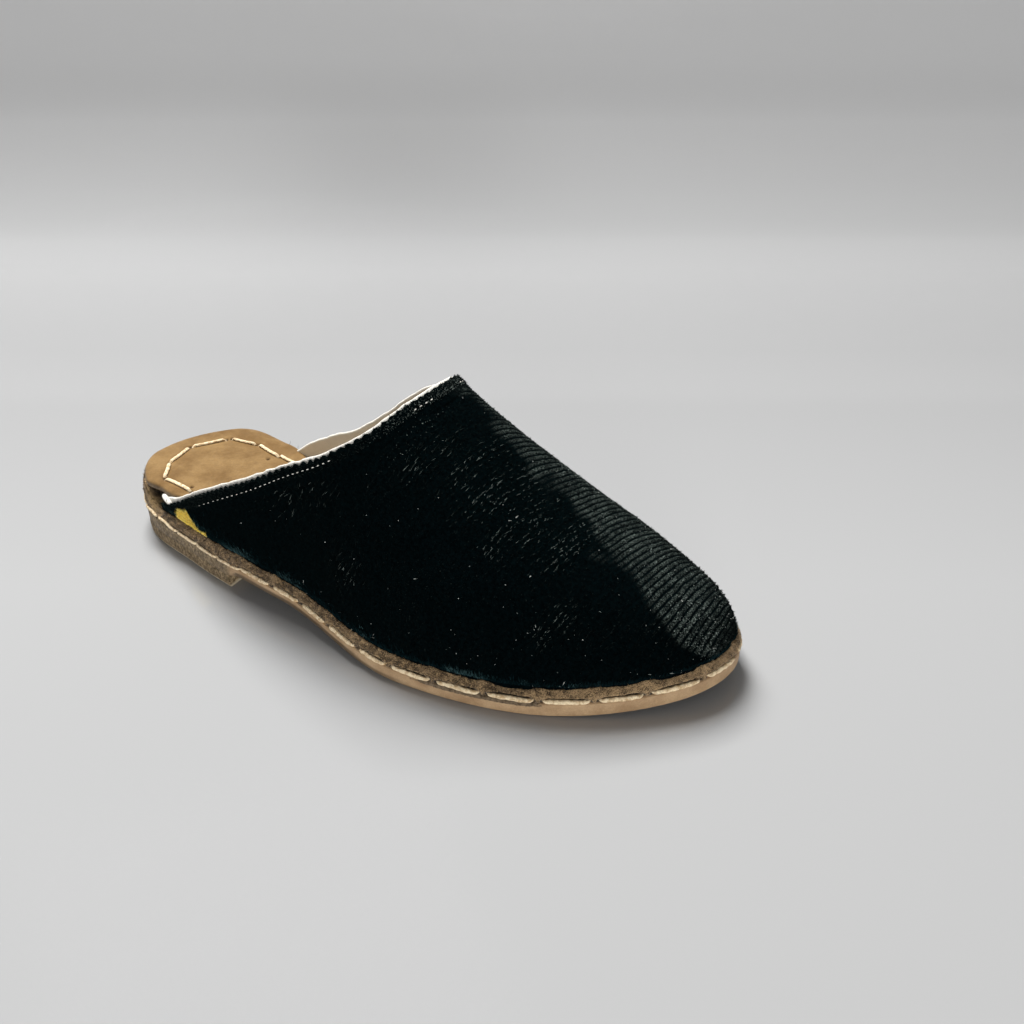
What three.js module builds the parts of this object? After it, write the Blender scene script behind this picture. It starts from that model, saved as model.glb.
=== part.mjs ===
// Babouche slipper for the right foot, in millimetres.
// +X runs from the heel to the toe, +Y to the medial side and +Z up. The floor is Z = 0.
import * as THREE from 'three';
import { mergeVertices } from 'three/addons/utils/BufferGeometryUtils.js';

// Driving dimensions
const soleLength = 250;
const ballWidth = 93;
const heelHeight = 5.7;
const heelLength = 69;
const heelChamfer = 1.2;
const toeSpring = 5.1;
const toeSwing = 10.8;
const outsoleThickness = 5.5;
const outsoleBevel = 0.9;
const waistBevel = 6;
const waistEdge = 2.2;
const waistRunIn = 8;
const randHeight = 4.2;
const randSlope = 2.2;
const heelRandSlope = 0.8;
const randRound = 1.2;
const randLean = 0.7;
const seatRise = 13;
const treadRise = 6.8;
const insoleThickness = 3;
const insoleMargin = 1.8;
const insoleRound = 0.8;
const throatRise = 74;
const wallThickness = 2.2;
const clearance = 0.3;

// Steps of the faceted surfaces, along each side of the sole and the insole, up each side of the
// upper and along it, and of the search for where the wall comes up to the insole
const edgeSteps = 56;
const insoleSteps = 112;
const climbSteps = 18;
const runSteps = 42;
const searchSteps = 72;

// Where the outsole lies flat on the floor, as shares of the length
const tread = { from: 0.63, to: 0.78 };

// Where the insole comes down from the heel seat, as shares of the length
const seatSlope = { from: 0.3, to: 0.56 };

// Where the rand rises to the insole round the back of the heel, as shares of the length
const randClimb = { from: 0.04, to: 0.085 };

// How far along the length the insole takes to draw back to the wall
const insoleNotch = 0.022;

// Where the bevel of the waist runs out towards the tread, as shares of the length
const bevelEnd = { from: 0.4, to: 0.62 };

// Half widths of the sole as shares of half the ball width, before its ends are rounded off.
// turn runs from 0 at the back of the heel to 1 at the tip of the toe.
const outlineRows = [
  { turn: 0, lateral: 0.98, medial: 1.46 },
  { turn: 1 / 7, lateral: 0.98, medial: 1.46 },
  { turn: 2 / 7, lateral: 0.84, medial: 0.9 },
  { turn: 3 / 7, lateral: 0.84, medial: 0.58 },
  { turn: 4 / 7, lateral: 1.09, medial: 0.92 },
  { turn: 5 / 7, lateral: 1.17, medial: 1.1 },
  { turn: 6 / 7, lateral: 1.13, medial: 1.12 },
  { turn: 1, lateral: 1.13, medial: 1.12 },
];

// Sections of the upper. rise is a share of the throat's rise, lean the crest's shift towards the
// medial side as a share of half the ball width, and fullness the exponent of the section.
const sectionRows = [
  { turn: 0, rise: 1.49, lean: 0, fullness: 2.18 },
  { turn: 1 / 7, rise: 1.49, lean: 0, fullness: 2.18 },
  { turn: 2 / 7, rise: 1.7, lean: 0, fullness: 2.18 },
  { turn: 3 / 7, rise: 1.37, lean: 0.26, fullness: 2.18 },
  { turn: 4 / 7, rise: 0.895, lean: 0.12, fullness: 2.02 },
  { turn: 5 / 7, rise: 0.61, lean: -0.035, fullness: 2.23 },
  { turn: 6 / 7, rise: 0.51, lean: -0.035, fullness: 2.23 },
  { turn: 1, rise: 0.51, lean: -0.035, fullness: 2.23 },
];

// Edge of the opening as shares of the length. climb runs from 0 at the rand to 1 on the crest.
const toplineRows = [
  { climb: 0, lateral: 0.104, medial: 0.176 },
  { climb: 0.1, lateral: 0.112, medial: 0.19 },
  { climb: 0.2, lateral: 0.165, medial: 0.234 },
  { climb: 0.4, lateral: 0.342, medial: 0.378 },
  { climb: 0.6, lateral: 0.468, medial: 0.466 },
  { climb: 0.8, lateral: 0.532, medial: 0.538 },
  { climb: 1, lateral: 0.556, medial: 0.556 },
];

// How much closer the rows of the upper stand near the rand than on the crest
const climbCrowding = 1.7;

const sides = { lateral: -1, medial: 1 };
const { smoothstep, lerp, clamp } = THREE.MathUtils;

// A smooth curve through one column of a table, flat at its ends and where the column turns back.
function curve(rows, along, name) {
  const places = rows.map((row) => row[along]);
  const values = rows.map((row) => row[name]);
  const slopes = values.slice(1).map((value, i) => (value - values[i]) / (places[i + 1] - places[i]));
  const tangents = values.map((_, i) => {
    const before = slopes[i - 1] ?? 0;
    const after = slopes[i] ?? 0;
    return before * after > 0 ? (2 * before * after) / (before + after) : 0;
  });
  return (place) => {
    const next = places.findIndex((value, i) => i > 0 && value >= place);
    const k = (next < 0 ? places.length - 1 : next) - 1;
    const step = places[k + 1] - places[k];
    const t = clamp((place - places[k]) / step, 0, 1);
    const rest = 1 - t;
    const ends = values[k] * (1 + 2 * t) * rest * rest + values[k + 1] * t * t * (1 + 2 * rest);
    return ends + step * t * rest * (tangents[k] * rest - tangents[k + 1] * t);
  };
}

const halfWidth = {
  lateral: curve(outlineRows, 'turn', 'lateral'),
  medial: curve(outlineRows, 'turn', 'medial'),
};
const crestRise = curve(sectionRows, 'turn', 'rise');
const crestLean = curve(sectionRows, 'turn', 'lean');
const sectionFullness = curve(sectionRows, 'turn', 'fullness');
const topline = {
  lateral: curve(toplineRows, 'climb', 'lateral'),
  medial: curve(toplineRows, 'climb', 'medial'),
};

const lengthAt = (turn) => (soleLength * (1 - Math.cos(Math.PI * turn))) / 2;
const turnAt = (share) => Math.acos(1 - 2 * share) / Math.PI;
const middleAt = (x) => toeSwing * (x / soleLength) ** 3;

// The sole's outline. A round runs from 0 at the heel along the lateral side to 1 at the toe, and
// back along the medial side to 2.
function outline(round) {
  const lap = (round + 2) % 2;
  const side = lap <= 1 ? 'lateral' : 'medial';
  const turn = lap <= 1 ? lap : 2 - lap;
  const x = lengthAt(turn);
  const half = (halfWidth[side](turn) * Math.sin(Math.PI * turn) * ballWidth) / 2;
  return new THREE.Vector2(x, middleAt(x) + sides[side] * half);
}

// A point inside the outline, at a distance from it along its normal.
function inside(round, distance) {
  const nudge = 1e-4;
  const along = outline(round + nudge).sub(outline(round - nudge)).normalize();
  const inward = new THREE.Vector2(-along.y, along.x);
  return outline(round).addScaledVector(inward, distance);
}

const roundOf = (side, turn) => (side === 'lateral' ? turn : 2 - turn);

// Heights above the floor, along the length
function outsoleUnderside(x) {
  const arch = 1 - smoothstep(x, heelLength, tread.from * soleLength);
  const beyond = Math.max(0, x / soleLength - tread.to) / (1 - tread.to);
  return heelHeight * arch + toeSpring * beyond ** 2;
}
const outsoleTop = (x) => outsoleUnderside(x) + outsoleThickness;
const randFoot = (x) => outsoleTop(x) + clearance;
const ledgeHeight = (x) => randFoot(x) + randHeight;

function insoleTop(x) {
  const down = smoothstep(x, seatSlope.from * soleLength, seatSlope.to * soleLength);
  return outsoleTop(x) + lerp(seatRise, treadRise, down);
}
const insoleUnderside = (x) => insoleTop(x) - insoleThickness;
const fillTop = (x) => insoleUnderside(x) - clearance;

// Round the back of the heel the rand stands upright and as high as the fill, less its edge.
const randFall = (x) => smoothstep(x, randClimb.from * soleLength, randClimb.to * soleLength);
const randTop = (x) => lerp(fillTop(x) - clearance, ledgeHeight(x), randFall(x));
const randInset = (round) => lerp(heelRandSlope, randSlope, randFall(outline(round).x));

// Distances in from the outline, at the wall's two faces and at the insole's edge
const wallOutside = randSlope + clearance;
const wallInside = wallOutside + wallThickness;
const fillEdge = wallInside + 2 * clearance;

// Height of the upper's outer face above its foot
function wallRise(climb, turn) {
  const angle = (Math.PI / 2) * climb ** climbCrowding;
  const share = crestRise(turn) * Math.sin(Math.PI * turn);
  return throatRise * share * Math.sin(angle) ** (2 / sectionFullness(turn));
}

// Where the edge of the opening comes up level with the insole's underside on its way to the toe
function wallReach(side) {
  const climbs = Array.from({ length: searchSteps }, (_, i) => i / searchSteps);
  const level = climbs.find((climb) => {
    const share = topline[side](climb);
    const x = share * soleLength;
    const top = ledgeHeight(x) + clearance + wallRise(climb, turnAt(share));
    return top + clearance > insoleUnderside(x);
  });
  return topline[side](level ?? 0);
}

// The insole reaches nearer the outline where no wall stands beside it. It has drawn back one facet
// before the wall comes up to it.
const reach = { lateral: wallReach('lateral'), medial: wallReach('medial') };
function insoleEdge(round) {
  const facet = Math.PI / 2 / insoleSteps;
  const end = reach[round <= 1 ? 'lateral' : 'medial'] - facet;
  const back = smoothstep(outline(round).x / soleLength, end - insoleNotch, end);
  return lerp(insoleMargin, fillEdge + clearance, back);
}

// How far the waist's bevel is cut, from 0 at the heel and on the tread to 1 between them.
function waistShare(x) {
  const rise = smoothstep(x, heelLength, heelLength + waistRunIn);
  return rise * (1 - smoothstep(x, bevelEnd.from * soleLength, bevelEnd.to * soleLength));
}

// A closed mesh from triangles of shared points, without the ones that have no area.
function solid(points, triangles) {
  const geometry = new THREE.BufferGeometry().setFromPoints(points);
  geometry.setIndex(triangles.flat());
  const merged = mergeVertices(geometry, 1e-5);
  const index = Array.from(merged.index.array);
  const kept = [];
  for (let i = 0; i < index.length; i += 3) {
    const [a, b, c] = index.slice(i, i + 3);
    if (a !== b && b !== c && c !== a) kept.push(a, b, c);
  }
  merged.setIndex(kept);
  merged.computeVertexNormals();
  return merged;
}

// A solid through closed loops from the bottom up. Each level gives a point for a round, and the
// two ends are closed by rungs between the sides.
function loft(levels, { steps = edgeSteps, lastTurn = 1 } = {}) {
  const turns = Array.from({ length: steps + 1 }, (_, i) => (lastTurn * i) / steps);
  const lateral = turns.map((turn) => roundOf('lateral', turn));
  const medial = turns.map((turn) => roundOf('medial', turn)).reverse();
  const rounds = [...lateral, ...medial];
  const count = rounds.length;
  const points = levels.flatMap((level) => rounds.map(level));
  const triangles = [];
  for (let level = 0; level < levels.length - 1; level++) {
    for (let i = 0; i < count; i++) {
      const a = level * count + i;
      const b = level * count + ((i + 1) % count);
      triangles.push([a, b, b + count], [a, b + count, a + count]);
    }
  }
  const top = (levels.length - 1) * count;
  for (let i = 0; i < steps; i++) {
    const across = count - 1 - i;
    triangles.push([i, across, across - 1], [i, across - 1, i + 1]);
    triangles.push([top + i, top + across - 1, top + across], [top + i, top + i + 1, top + across - 1]);
  }
  return solid(points, triangles);
}

// One loop of a loft, inside the outline by a distance and at a height that follow the round.
function loop(distance, height) {
  return (round) => {
    const point = inside(round, typeof distance === 'function' ? distance(round) : distance);
    return new THREE.Vector3(point.x, point.y, height(point.x));
  };
}

function heelGeometry() {
  const ends = (level) => (round) => {
    const point = level(round);
    return point.setX(Math.min(point.x, heelLength));
  };
  const top = heelHeight - clearance;
  const levels = [
    loop(heelChamfer, () => 0),
    loop(0, () => heelChamfer),
    loop(0, () => top),
  ];
  return loft(levels.map(ends), { lastTurn: turnAt(heelLength / soleLength) });
}

function outsoleGeometry() {
  const bevel = (round) => lerp(outsoleBevel, waistBevel, waistShare(outline(round).x));
  const bevelHeight = (x) => lerp(outsoleBevel, outsoleThickness - outsoleBevel - waistEdge, waistShare(x));
  return loft([
    loop(bevel, outsoleUnderside),
    loop(0, (x) => outsoleUnderside(x) + bevelHeight(x)),
    loop(0, (x) => outsoleTop(x) - outsoleBevel),
    loop(outsoleBevel, outsoleTop),
  ]);
}

function midsoleGeometry() {
  return loft([
    loop(outsoleBevel, randFoot),
    loop(0, (x) => randFoot(x) + outsoleBevel),
    loop((round) => randInset(round) * randLean, (x) => randTop(x) - randRound),
    loop(randInset, randTop),
    loop(fillEdge, randTop),
    loop(fillEdge + clearance, fillTop),
  ]);
}

function insoleGeometry() {
  const rounded = (round) => insoleEdge(round) + insoleRound;
  return loft([
    loop(rounded, insoleUnderside),
    loop(insoleEdge, (x) => insoleUnderside(x) + insoleRound),
    loop(insoleEdge, (x) => insoleTop(x) - insoleRound),
    loop(rounded, insoleTop),
  ], { steps: insoleSteps });
}

// The outer face of the upper. climb goes up from the rand to the crest, and turn along the sole.
function upperFace(side, climb, turn) {
  const foot = inside(roundOf(side, turn), wallOutside);
  const inset = soleLength - 2 * wallOutside;
  const x = wallOutside + (inset * lengthAt(turn)) / soleLength;
  const crestY = middleAt(x) + (crestLean(turn) * Math.sin(Math.PI * turn) * ballWidth) / 2;
  const angle = (Math.PI / 2) * climb ** climbCrowding;
  const out = Math.cos(angle) ** (2 / sectionFullness(turn));
  const height = ledgeHeight(foot.x) + clearance + wallRise(climb, turn);
  return new THREE.Vector3(lerp(x, foot.x, out), lerp(crestY, foot.y, out), height);
}

// The inner face, one wall thickness in along the outer face's normal.
function upperLining(side, climb, turn) {
  if (climb === 0 || turn === 1) {
    const foot = inside(roundOf(side, turn), wallInside);
    return new THREE.Vector3(foot.x, foot.y, ledgeHeight(foot.x) + clearance);
  }
  const nudge = 1e-3;
  const here = upperFace(side, climb, turn);
  const up = upperFace(side, Math.min(1, climb + nudge), turn).sub(upperFace(side, climb - nudge, turn));
  const along = upperFace(side, climb, turn + nudge / 4).sub(upperFace(side, climb, turn - nudge / 4));
  const normal = new THREE.Vector3().crossVectors(up, along).normalize();
  return here.addScaledVector(normal, sides[side] * -wallThickness);
}

function upperGeometry() {
  const climbs = Array.from({ length: climbSteps + 1 }, (_, i) => i / climbSteps);
  const rows = [
    ...climbs.map((climb) => ({ side: 'lateral', climb })),
    ...climbs.slice(0, -1).reverse().map((climb) => ({ side: 'medial', climb })),
  ];
  const stations = Array.from({ length: runSteps + 1 }, (_, i) => i / runSteps);
  const grid = (face) => rows.flatMap(({ side, climb }) => {
    const start = turnAt(topline[side](climb));
    return stations.map((run) => face(side, climb, run === 1 ? 1 : lerp(start, 1, run)));
  });
  const points = [...grid(upperFace), ...grid(upperLining)];
  const columns = stations.length;
  const face = rows.length * columns;
  const triangles = [];
  const quad = (a, b, c, d) => triangles.push([a, b, c], [a, c, d]);
  for (let row = 0; row < rows.length - 1; row++) {
    for (let column = 0; column < runSteps; column++) {
      const a = row * columns + column;
      const b = a + 1;
      quad(a, b, b + columns, a + columns);
      quad(face + a, face + a + columns, face + b + columns, face + b);
    }
    const edge = row * columns;
    quad(edge, edge + columns, face + edge + columns, face + edge);
  }
  const last = (rows.length - 1) * columns;
  for (let column = 0; column < runSteps; column++) {
    quad(column, face + column, face + column + 1, column + 1);
    quad(last + column, last + column + 1, face + last + column + 1, face + last + column);
  }
  return solid(points, triangles);
}

const leather = (color, roughness) => new THREE.MeshStandardMaterial({ color, roughness, metalness: 0 });

const pieces = [
  { name: 'heel', geometry: heelGeometry(), material: leather(0x6e5a45, 0.85) },
  { name: 'outsole', geometry: outsoleGeometry(), material: leather(0xb08a62, 0.6) },
  { name: 'midsole', geometry: midsoleGeometry(), material: leather(0x5e4630, 0.95) },
  { name: 'insole', geometry: insoleGeometry(), material: leather(0xb48a5e, 0.5) },
  { name: 'upper', geometry: upperGeometry(), material: leather(0x070b0b, 0.9) },
];

const slipper = new THREE.Group();
for (const { name, geometry, material } of pieces) {
  const mesh = new THREE.Mesh(geometry, material);
  mesh.name = name;
  // The origin is under the middle of the sole's box.
  mesh.position.x = -soleLength / 2;
  slipper.add(mesh);
}

export default slipper;
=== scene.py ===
"""Looks of the babouche slipper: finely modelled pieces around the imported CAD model.

Shapes are worked out in millimetres from the back of the heel, as in the CAD source, and each
mesh is moved into the row frame and scaled to metres when it is made.
"""

import math

import bpy
import numpy as np
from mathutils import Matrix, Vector


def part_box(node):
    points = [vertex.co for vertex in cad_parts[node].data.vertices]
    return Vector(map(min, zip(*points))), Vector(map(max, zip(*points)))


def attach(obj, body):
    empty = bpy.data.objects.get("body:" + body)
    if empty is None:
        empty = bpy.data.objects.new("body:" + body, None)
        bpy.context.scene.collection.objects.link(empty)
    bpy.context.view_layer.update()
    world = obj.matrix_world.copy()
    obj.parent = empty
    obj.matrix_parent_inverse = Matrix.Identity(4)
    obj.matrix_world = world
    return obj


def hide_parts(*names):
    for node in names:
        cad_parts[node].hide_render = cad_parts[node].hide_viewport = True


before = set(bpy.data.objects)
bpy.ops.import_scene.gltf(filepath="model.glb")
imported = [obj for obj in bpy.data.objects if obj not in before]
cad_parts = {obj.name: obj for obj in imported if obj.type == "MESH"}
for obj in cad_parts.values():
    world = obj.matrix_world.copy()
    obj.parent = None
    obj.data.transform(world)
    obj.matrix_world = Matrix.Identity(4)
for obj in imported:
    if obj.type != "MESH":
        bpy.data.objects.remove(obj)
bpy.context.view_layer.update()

MM = 0.001
SEED = 37

# Sizes read from the frame
heel_low, heel_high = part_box("heel")
sole_low, sole_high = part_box("outsole")
SOLE_LENGTH = (sole_high.x - sole_low.x) / MM
HEEL_LENGTH = (heel_high.x - heel_low.x) / MM

# Driving dimensions, the same as in the CAD source
BALL_WIDTH = 93.0
HEEL_HEIGHT = 5.7
TOE_SPRING = 5.1
TOE_SWING = 10.8
OUTSOLE_THICKNESS = 5.5
WAIST_EDGE = 2.2
RAND_HEIGHT = 4.2
RAND_SLOPE = 2.2
HEEL_RAND_SLOPE = 0.8
SEAT_RISE = 13.0
TREAD_RISE = 6.8
INSOLE_THICKNESS = 3.0
INSOLE_MARGIN = 1.8
THROAT_RISE = 74.0
WALL = 2.2
CLEARANCE = 0.3
CLIMB_CROWDING = 1.7
TREAD = (0.63, 0.78)
SEAT_SLOPE = (0.3, 0.56)
RAND_CLIMB = (0.04, 0.085)
BEVEL_END = (0.4, 0.62)
WAIST_RUN_IN = 8.0

# Half widths of the sole as shares of half the ball width. turn runs from 0 at the heel to 1.
OUTLINE = {
    "turn": [k / 7 for k in range(8)],
    "lateral": (0.98, 0.98, 0.84, 0.84, 1.09, 1.17, 1.13, 1.13),
    "medial": (1.46, 1.46, 0.9, 0.58, 0.92, 1.1, 1.12, 1.12),
}

# Sections of the upper: the crest's height, its lean to the medial side and the section's exponent
SECTION = {
    "turn": OUTLINE["turn"],
    "rise": (1.49, 1.49, 1.7, 1.37, 0.895, 0.61, 0.51, 0.51),
    "lean": (0, 0, 0, 0.26, 0.12, -0.035, -0.035, -0.035),
    "fullness": (2.18, 2.18, 2.18, 2.18, 2.02, 2.23, 2.23, 2.23),
}

# Where the upper's top edge runs, as shares of the length. climb is 0 at the rand and 1 at the crest.
TOPLINE = {
    "climb": (0, 0.1, 0.2, 0.4, 0.6, 0.8, 1),
    "lateral": (0.104, 0.112, 0.165, 0.342, 0.468, 0.532, 0.556),
    "medial": (0.176, 0.19, 0.234, 0.378, 0.466, 0.538, 0.556),
}


# Small helpers on arrays
def smoothstep(value, low, high):
    t = np.clip((value - low) / (high - low), 0, 1)
    return t * t * (3 - 2 * t)


def lerp(a, b, share):
    return a + (b - a) * share


def hump(value, centre, width):
    """A smooth hump, 1 at its centre and about a third at one width from it."""
    return np.exp(-(((value - centre) / width) ** 2))


def between(value, opens, closes):
    """1 between two ramps and 0 beyond them. Each ramp is given by its two ends."""
    return smoothstep(value, *opens) * (1 - smoothstep(value, *closes))


def run_length(points):
    """Distance along a path from its start. The path runs along the last axis but one."""
    steps = np.linalg.norm(np.diff(points, axis=-2), axis=-1)
    return np.concatenate([np.zeros(steps.shape[:-1] + (1,)), np.cumsum(steps, axis=-1)], -1)


def unit(vectors):
    return vectors / np.maximum(np.linalg.norm(vectors, axis=-1, keepdims=True), 1e-12)


def curve(table, along, name):
    """A smooth curve through one column of a table, flat at its ends and where it turns back."""
    places = np.array(table[along], float)
    values = np.array(table[name], float)
    slopes = np.diff(values) / np.diff(places)
    before = np.concatenate([[0], slopes])
    after = np.concatenate([slopes, [0]])
    same = before * after > 0
    tangents = np.where(same, 2 * before * after / np.where(same, before + after, 1), 0)

    def at(place):
        place = np.asarray(place, float)
        k = np.clip(np.searchsorted(places, place, side="left") - 1, 0, len(places) - 2)
        step = places[k + 1] - places[k]
        t = np.clip((place - places[k]) / step, 0, 1)
        rest = 1 - t
        ends = values[k] * (1 + 2 * t) * rest**2 + values[k + 1] * t**2 * (1 + 2 * rest)
        return ends + step * t * rest * (tangents[k] * rest - tangents[k + 1] * t)

    return at


# Large odd numbers that scramble a cell's whole-number place into noise
CELL_FACTORS = (374761393, 668265263, 2147483647)
SEED_FACTOR = 974634777
STIR_FACTOR = 1274126177


def hash_noise(points, seed=0):
    """Smooth value noise between -1 and 1 at points in any unit, the same each run."""
    points = np.asarray(points, float)
    cell = np.floor(points).astype(np.int64)
    t = points - cell
    t = t * t * (3 - 2 * t)
    total = np.zeros(points.shape[:-1])
    for corner in range(8):
        bits = np.array([corner & 1, corner >> 1 & 1, corner >> 2 & 1])
        at = cell + bits
        mixed = sum(at[..., k] * factor for k, factor in enumerate(CELL_FACTORS)) + seed * SEED_FACTOR
        mixed = (mixed ^ (mixed >> 13)) * STIR_FACTOR
        mixed = mixed ^ (mixed >> 16)
        value = (mixed & 0xFFFF) / 32767.5 - 1
        weight = np.prod(np.where(bits == 1, t, 1 - t), axis=-1)
        total += value * weight
    return total


# The last and the sole, as in the CAD source
half_width = {side: curve(OUTLINE, "turn", side) for side in ("lateral", "medial")}
crest_rise, crest_lean, fullness = (curve(SECTION, "turn", name) for name in ("rise", "lean", "fullness"))
topline = {side: curve(TOPLINE, "climb", side) for side in ("lateral", "medial")}


def length_at(turn):
    return SOLE_LENGTH * (1 - np.cos(np.pi * turn)) / 2


def turn_at(share):
    return np.arccos(1 - 2 * np.clip(share, 0, 1)) / np.pi


def middle_at(x):
    return TOE_SWING * (x / SOLE_LENGTH) ** 3


def outline(rounds):
    """Points on the sole's outline, from 0 at the heel along the lateral side to 1 and back to 2."""
    lap = np.mod(rounds, 2)
    lateral = lap <= 1
    turn = np.where(lateral, lap, 2 - lap)
    x = length_at(turn)
    share = np.where(lateral, -half_width["lateral"](turn), half_width["medial"](turn))
    return np.stack([x, middle_at(x) + share * np.sin(np.pi * turn) * BALL_WIDTH / 2], -1)


def inward(rounds):
    """The direction in from the outline, level with the floor."""
    nudge = 1e-4
    along = unit(outline(rounds + nudge) - outline(rounds - nudge))
    return np.stack([-along[..., 1], along[..., 0]], -1)


def inside(rounds, distance):
    return outline(rounds) + inward(rounds) * np.asarray(distance)[..., None]


def outsole_underside(x):
    arch = 1 - smoothstep(x, HEEL_LENGTH, TREAD[0] * SOLE_LENGTH)
    beyond = np.maximum(0, x / SOLE_LENGTH - TREAD[1]) / (1 - TREAD[1])
    return HEEL_HEIGHT * arch + TOE_SPRING * beyond**2


def outsole_top(x):
    return outsole_underside(x) + OUTSOLE_THICKNESS


def rand_foot(x):
    return outsole_top(x) + CLEARANCE


def ledge_height(x):
    return rand_foot(x) + RAND_HEIGHT


def insole_top(x):
    down = smoothstep(x, SEAT_SLOPE[0] * SOLE_LENGTH, SEAT_SLOPE[1] * SOLE_LENGTH)
    return outsole_top(x) + lerp(SEAT_RISE, TREAD_RISE, down)


def insole_underside(x):
    return insole_top(x) - INSOLE_THICKNESS


def rand_fall(x):
    return smoothstep(x, RAND_CLIMB[0] * SOLE_LENGTH, RAND_CLIMB[1] * SOLE_LENGTH)


def rand_top(x):
    return lerp(insole_underside(x) - 2 * CLEARANCE, ledge_height(x), rand_fall(x))


def waist_share(x):
    opens = (HEEL_LENGTH, HEEL_LENGTH + WAIST_RUN_IN)
    return between(x, opens, (BEVEL_END[0] * SOLE_LENGTH, BEVEL_END[1] * SOLE_LENGTH))


WALL_OUTSIDE = RAND_SLOPE + CLEARANCE
WALL_INSIDE = WALL_OUTSIDE + WALL

# Distance along the outline in millimetres, for stitches and grain
ROUND_TABLE = np.linspace(0, 2, 8001)
EDGE_TABLE = run_length(outline(ROUND_TABLE))
EDGE_LENGTH = EDGE_TABLE[-1]


def round_at(distance):
    return np.interp(np.mod(distance, EDGE_LENGTH), EDGE_TABLE, ROUND_TABLE)


def distance_at(rounds):
    return np.interp(rounds, ROUND_TABLE, EDGE_TABLE)


def upper_face(girth, turn):
    """The outer face of the upper. girth runs from -1 at the lateral rand over the crest to 1."""
    girth, turn = np.broadcast_arrays(np.asarray(girth, float), np.asarray(turn, float))
    climb = 1 - np.abs(girth)
    rounds = np.where(girth < 0, turn, 2 - turn)
    foot = inside(rounds, WALL_OUTSIDE)
    x = WALL_OUTSIDE + (SOLE_LENGTH - 2 * WALL_OUTSIDE) * length_at(turn) / SOLE_LENGTH
    crest_y = middle_at(x) + crest_lean(turn) * np.sin(np.pi * turn) * BALL_WIDTH / 2
    angle = np.pi / 2 * climb**CLIMB_CROWDING
    out = np.maximum(np.cos(angle), 0) ** (2 / fullness(turn))
    rise = THROAT_RISE * crest_rise(turn) * np.sin(np.pi * turn)
    height = ledge_height(foot[..., 0]) + CLEARANCE + rise * np.sin(angle) ** (2 / fullness(turn))
    return np.stack([lerp(x, foot[..., 0], out), lerp(crest_y, foot[..., 1], out), height], -1)


def upper_normal(girth, turn):
    """Outward normal of the upper's outer face."""
    step = 2e-3
    girth, turn = np.broadcast_arrays(np.asarray(girth, float), np.asarray(turn, float))
    g0, g1 = np.clip(girth - step, -1, 1), np.clip(girth + step, -1, 1)
    t0, t1 = np.clip(turn - step, 0, 1 - step / 4), np.clip(turn + step, 0, 1 - step / 8)
    around = upper_face(g1, turn) - upper_face(g0, turn)
    along = upper_face(girth, t1) - upper_face(girth, t0)
    return unit(np.cross(along, around))


def topline_turn(girth):
    climb = 1 - np.abs(girth)
    share = np.where(girth < 0, topline["lateral"](climb), topline["medial"](climb))
    return turn_at(share)


def heel_share(x):
    """1 over the heel block, falling to 0 just in front of it."""
    return 1 - smoothstep(x, HEEL_LENGTH - 1, HEEL_LENGTH + 3)


def on_welt(distance, inset, height):
    """Points by distance along the outline, distance in from it and height above the rand's foot."""
    flat = inside(round_at(distance), inset)
    return np.stack([flat[..., 0], flat[..., 1], rand_foot(flat[..., 0]) + height], -1)


# Welt stitches. The lateral starts follow the photo, from the heel's breast to the toe.
LATERAL_STITCHES = (91.5, 108.5, 123, 138, 154, 168, 185, 202.5, 220.5, 238.5, 255.5, 275)
FIRST_MEDIAL_STITCH = 291.5
MEDIAL_STITCHES = 12
HEEL_STITCHES = 14
STITCH_GAP = 3.7
HEEL_STITCH_GAP = 1.5
THREAD = 0.9
HEEL_THREAD = 0.6

# The welt's awl holes: how far beyond a stitch's end, and their height and size on the rand
HOLE_BEYOND = 0.55
WELT_HOLE = (0.5, 0.65)

# Where the rand's top edge sags, or swells where the depth is negative: place, width and depth
RAND_SAGS = ((209.0, 7.5, 1.1), (253.0, 4.5, -0.6), (265.0, 5.0, 0.4))

# Where the rand's golden flesh side turns up: place and width
GOLD_PLACE = 32.0
GOLD_WIDTH = 5.5


def welt_starts():
    """Starts of the thick stitches, with the end of the last one, and ends of the thin ones."""
    rng = np.random.default_rng(SEED)
    last = EDGE_LENGTH - LATERAL_STITCHES[0]
    medial = np.linspace(FIRST_MEDIAL_STITCH, last, MEDIAL_STITCHES + 1)
    medial[1:-1] += rng.uniform(-0.9, 0.9, MEDIAL_STITCHES - 1)
    thick = np.concatenate([LATERAL_STITCHES, medial])
    thin = np.linspace(last, EDGE_LENGTH + LATERAL_STITCHES[0], HEEL_STITCHES + 1)
    return thick, thin


THICK_STARTS, THIN_STARTS = welt_starts()
THICK_ENDS = THICK_STARTS[1:] - STITCH_GAP
THICK_STARTS = THICK_STARTS[:-1]


def stitch_window(distance):
    """1 along the middle of each thick welt stitch, 0 at its gaps."""
    lap = np.mod(distance, EDGE_LENGTH)[..., None]
    opens = (THICK_STARTS - 0.7, THICK_STARTS + 1.8)
    return between(lap, opens, (THICK_ENDS - 1.8, THICK_ENDS + 0.7)).max(-1)


def along_noise(distance, height, size, seed):
    """Noise that runs along the sole's edge, by distance and height in millimetres."""
    flat = np.stack(np.broadcast_arrays(distance / size, height / size, 0.5), -1)
    return hash_noise(flat, seed)


# The rand's surface
def rand_wave(distance):
    """How far the rand's top edge stands above its plain height: up at gaps, down mid-stitch."""
    x = outline(round_at(distance))[..., 0]
    heel = heel_share(x)
    wave = 0.25 - 0.5 * stitch_window(distance)
    droop = sum(depth * hump(distance, place, width) for place, width, depth in RAND_SAGS)
    ragged = 0.35 * along_noise(distance, 0, 4.5, 3) + 0.25 * along_noise(distance, 0, 1.2, 4)
    return wave * (1 - heel) + ragged - droop


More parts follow.
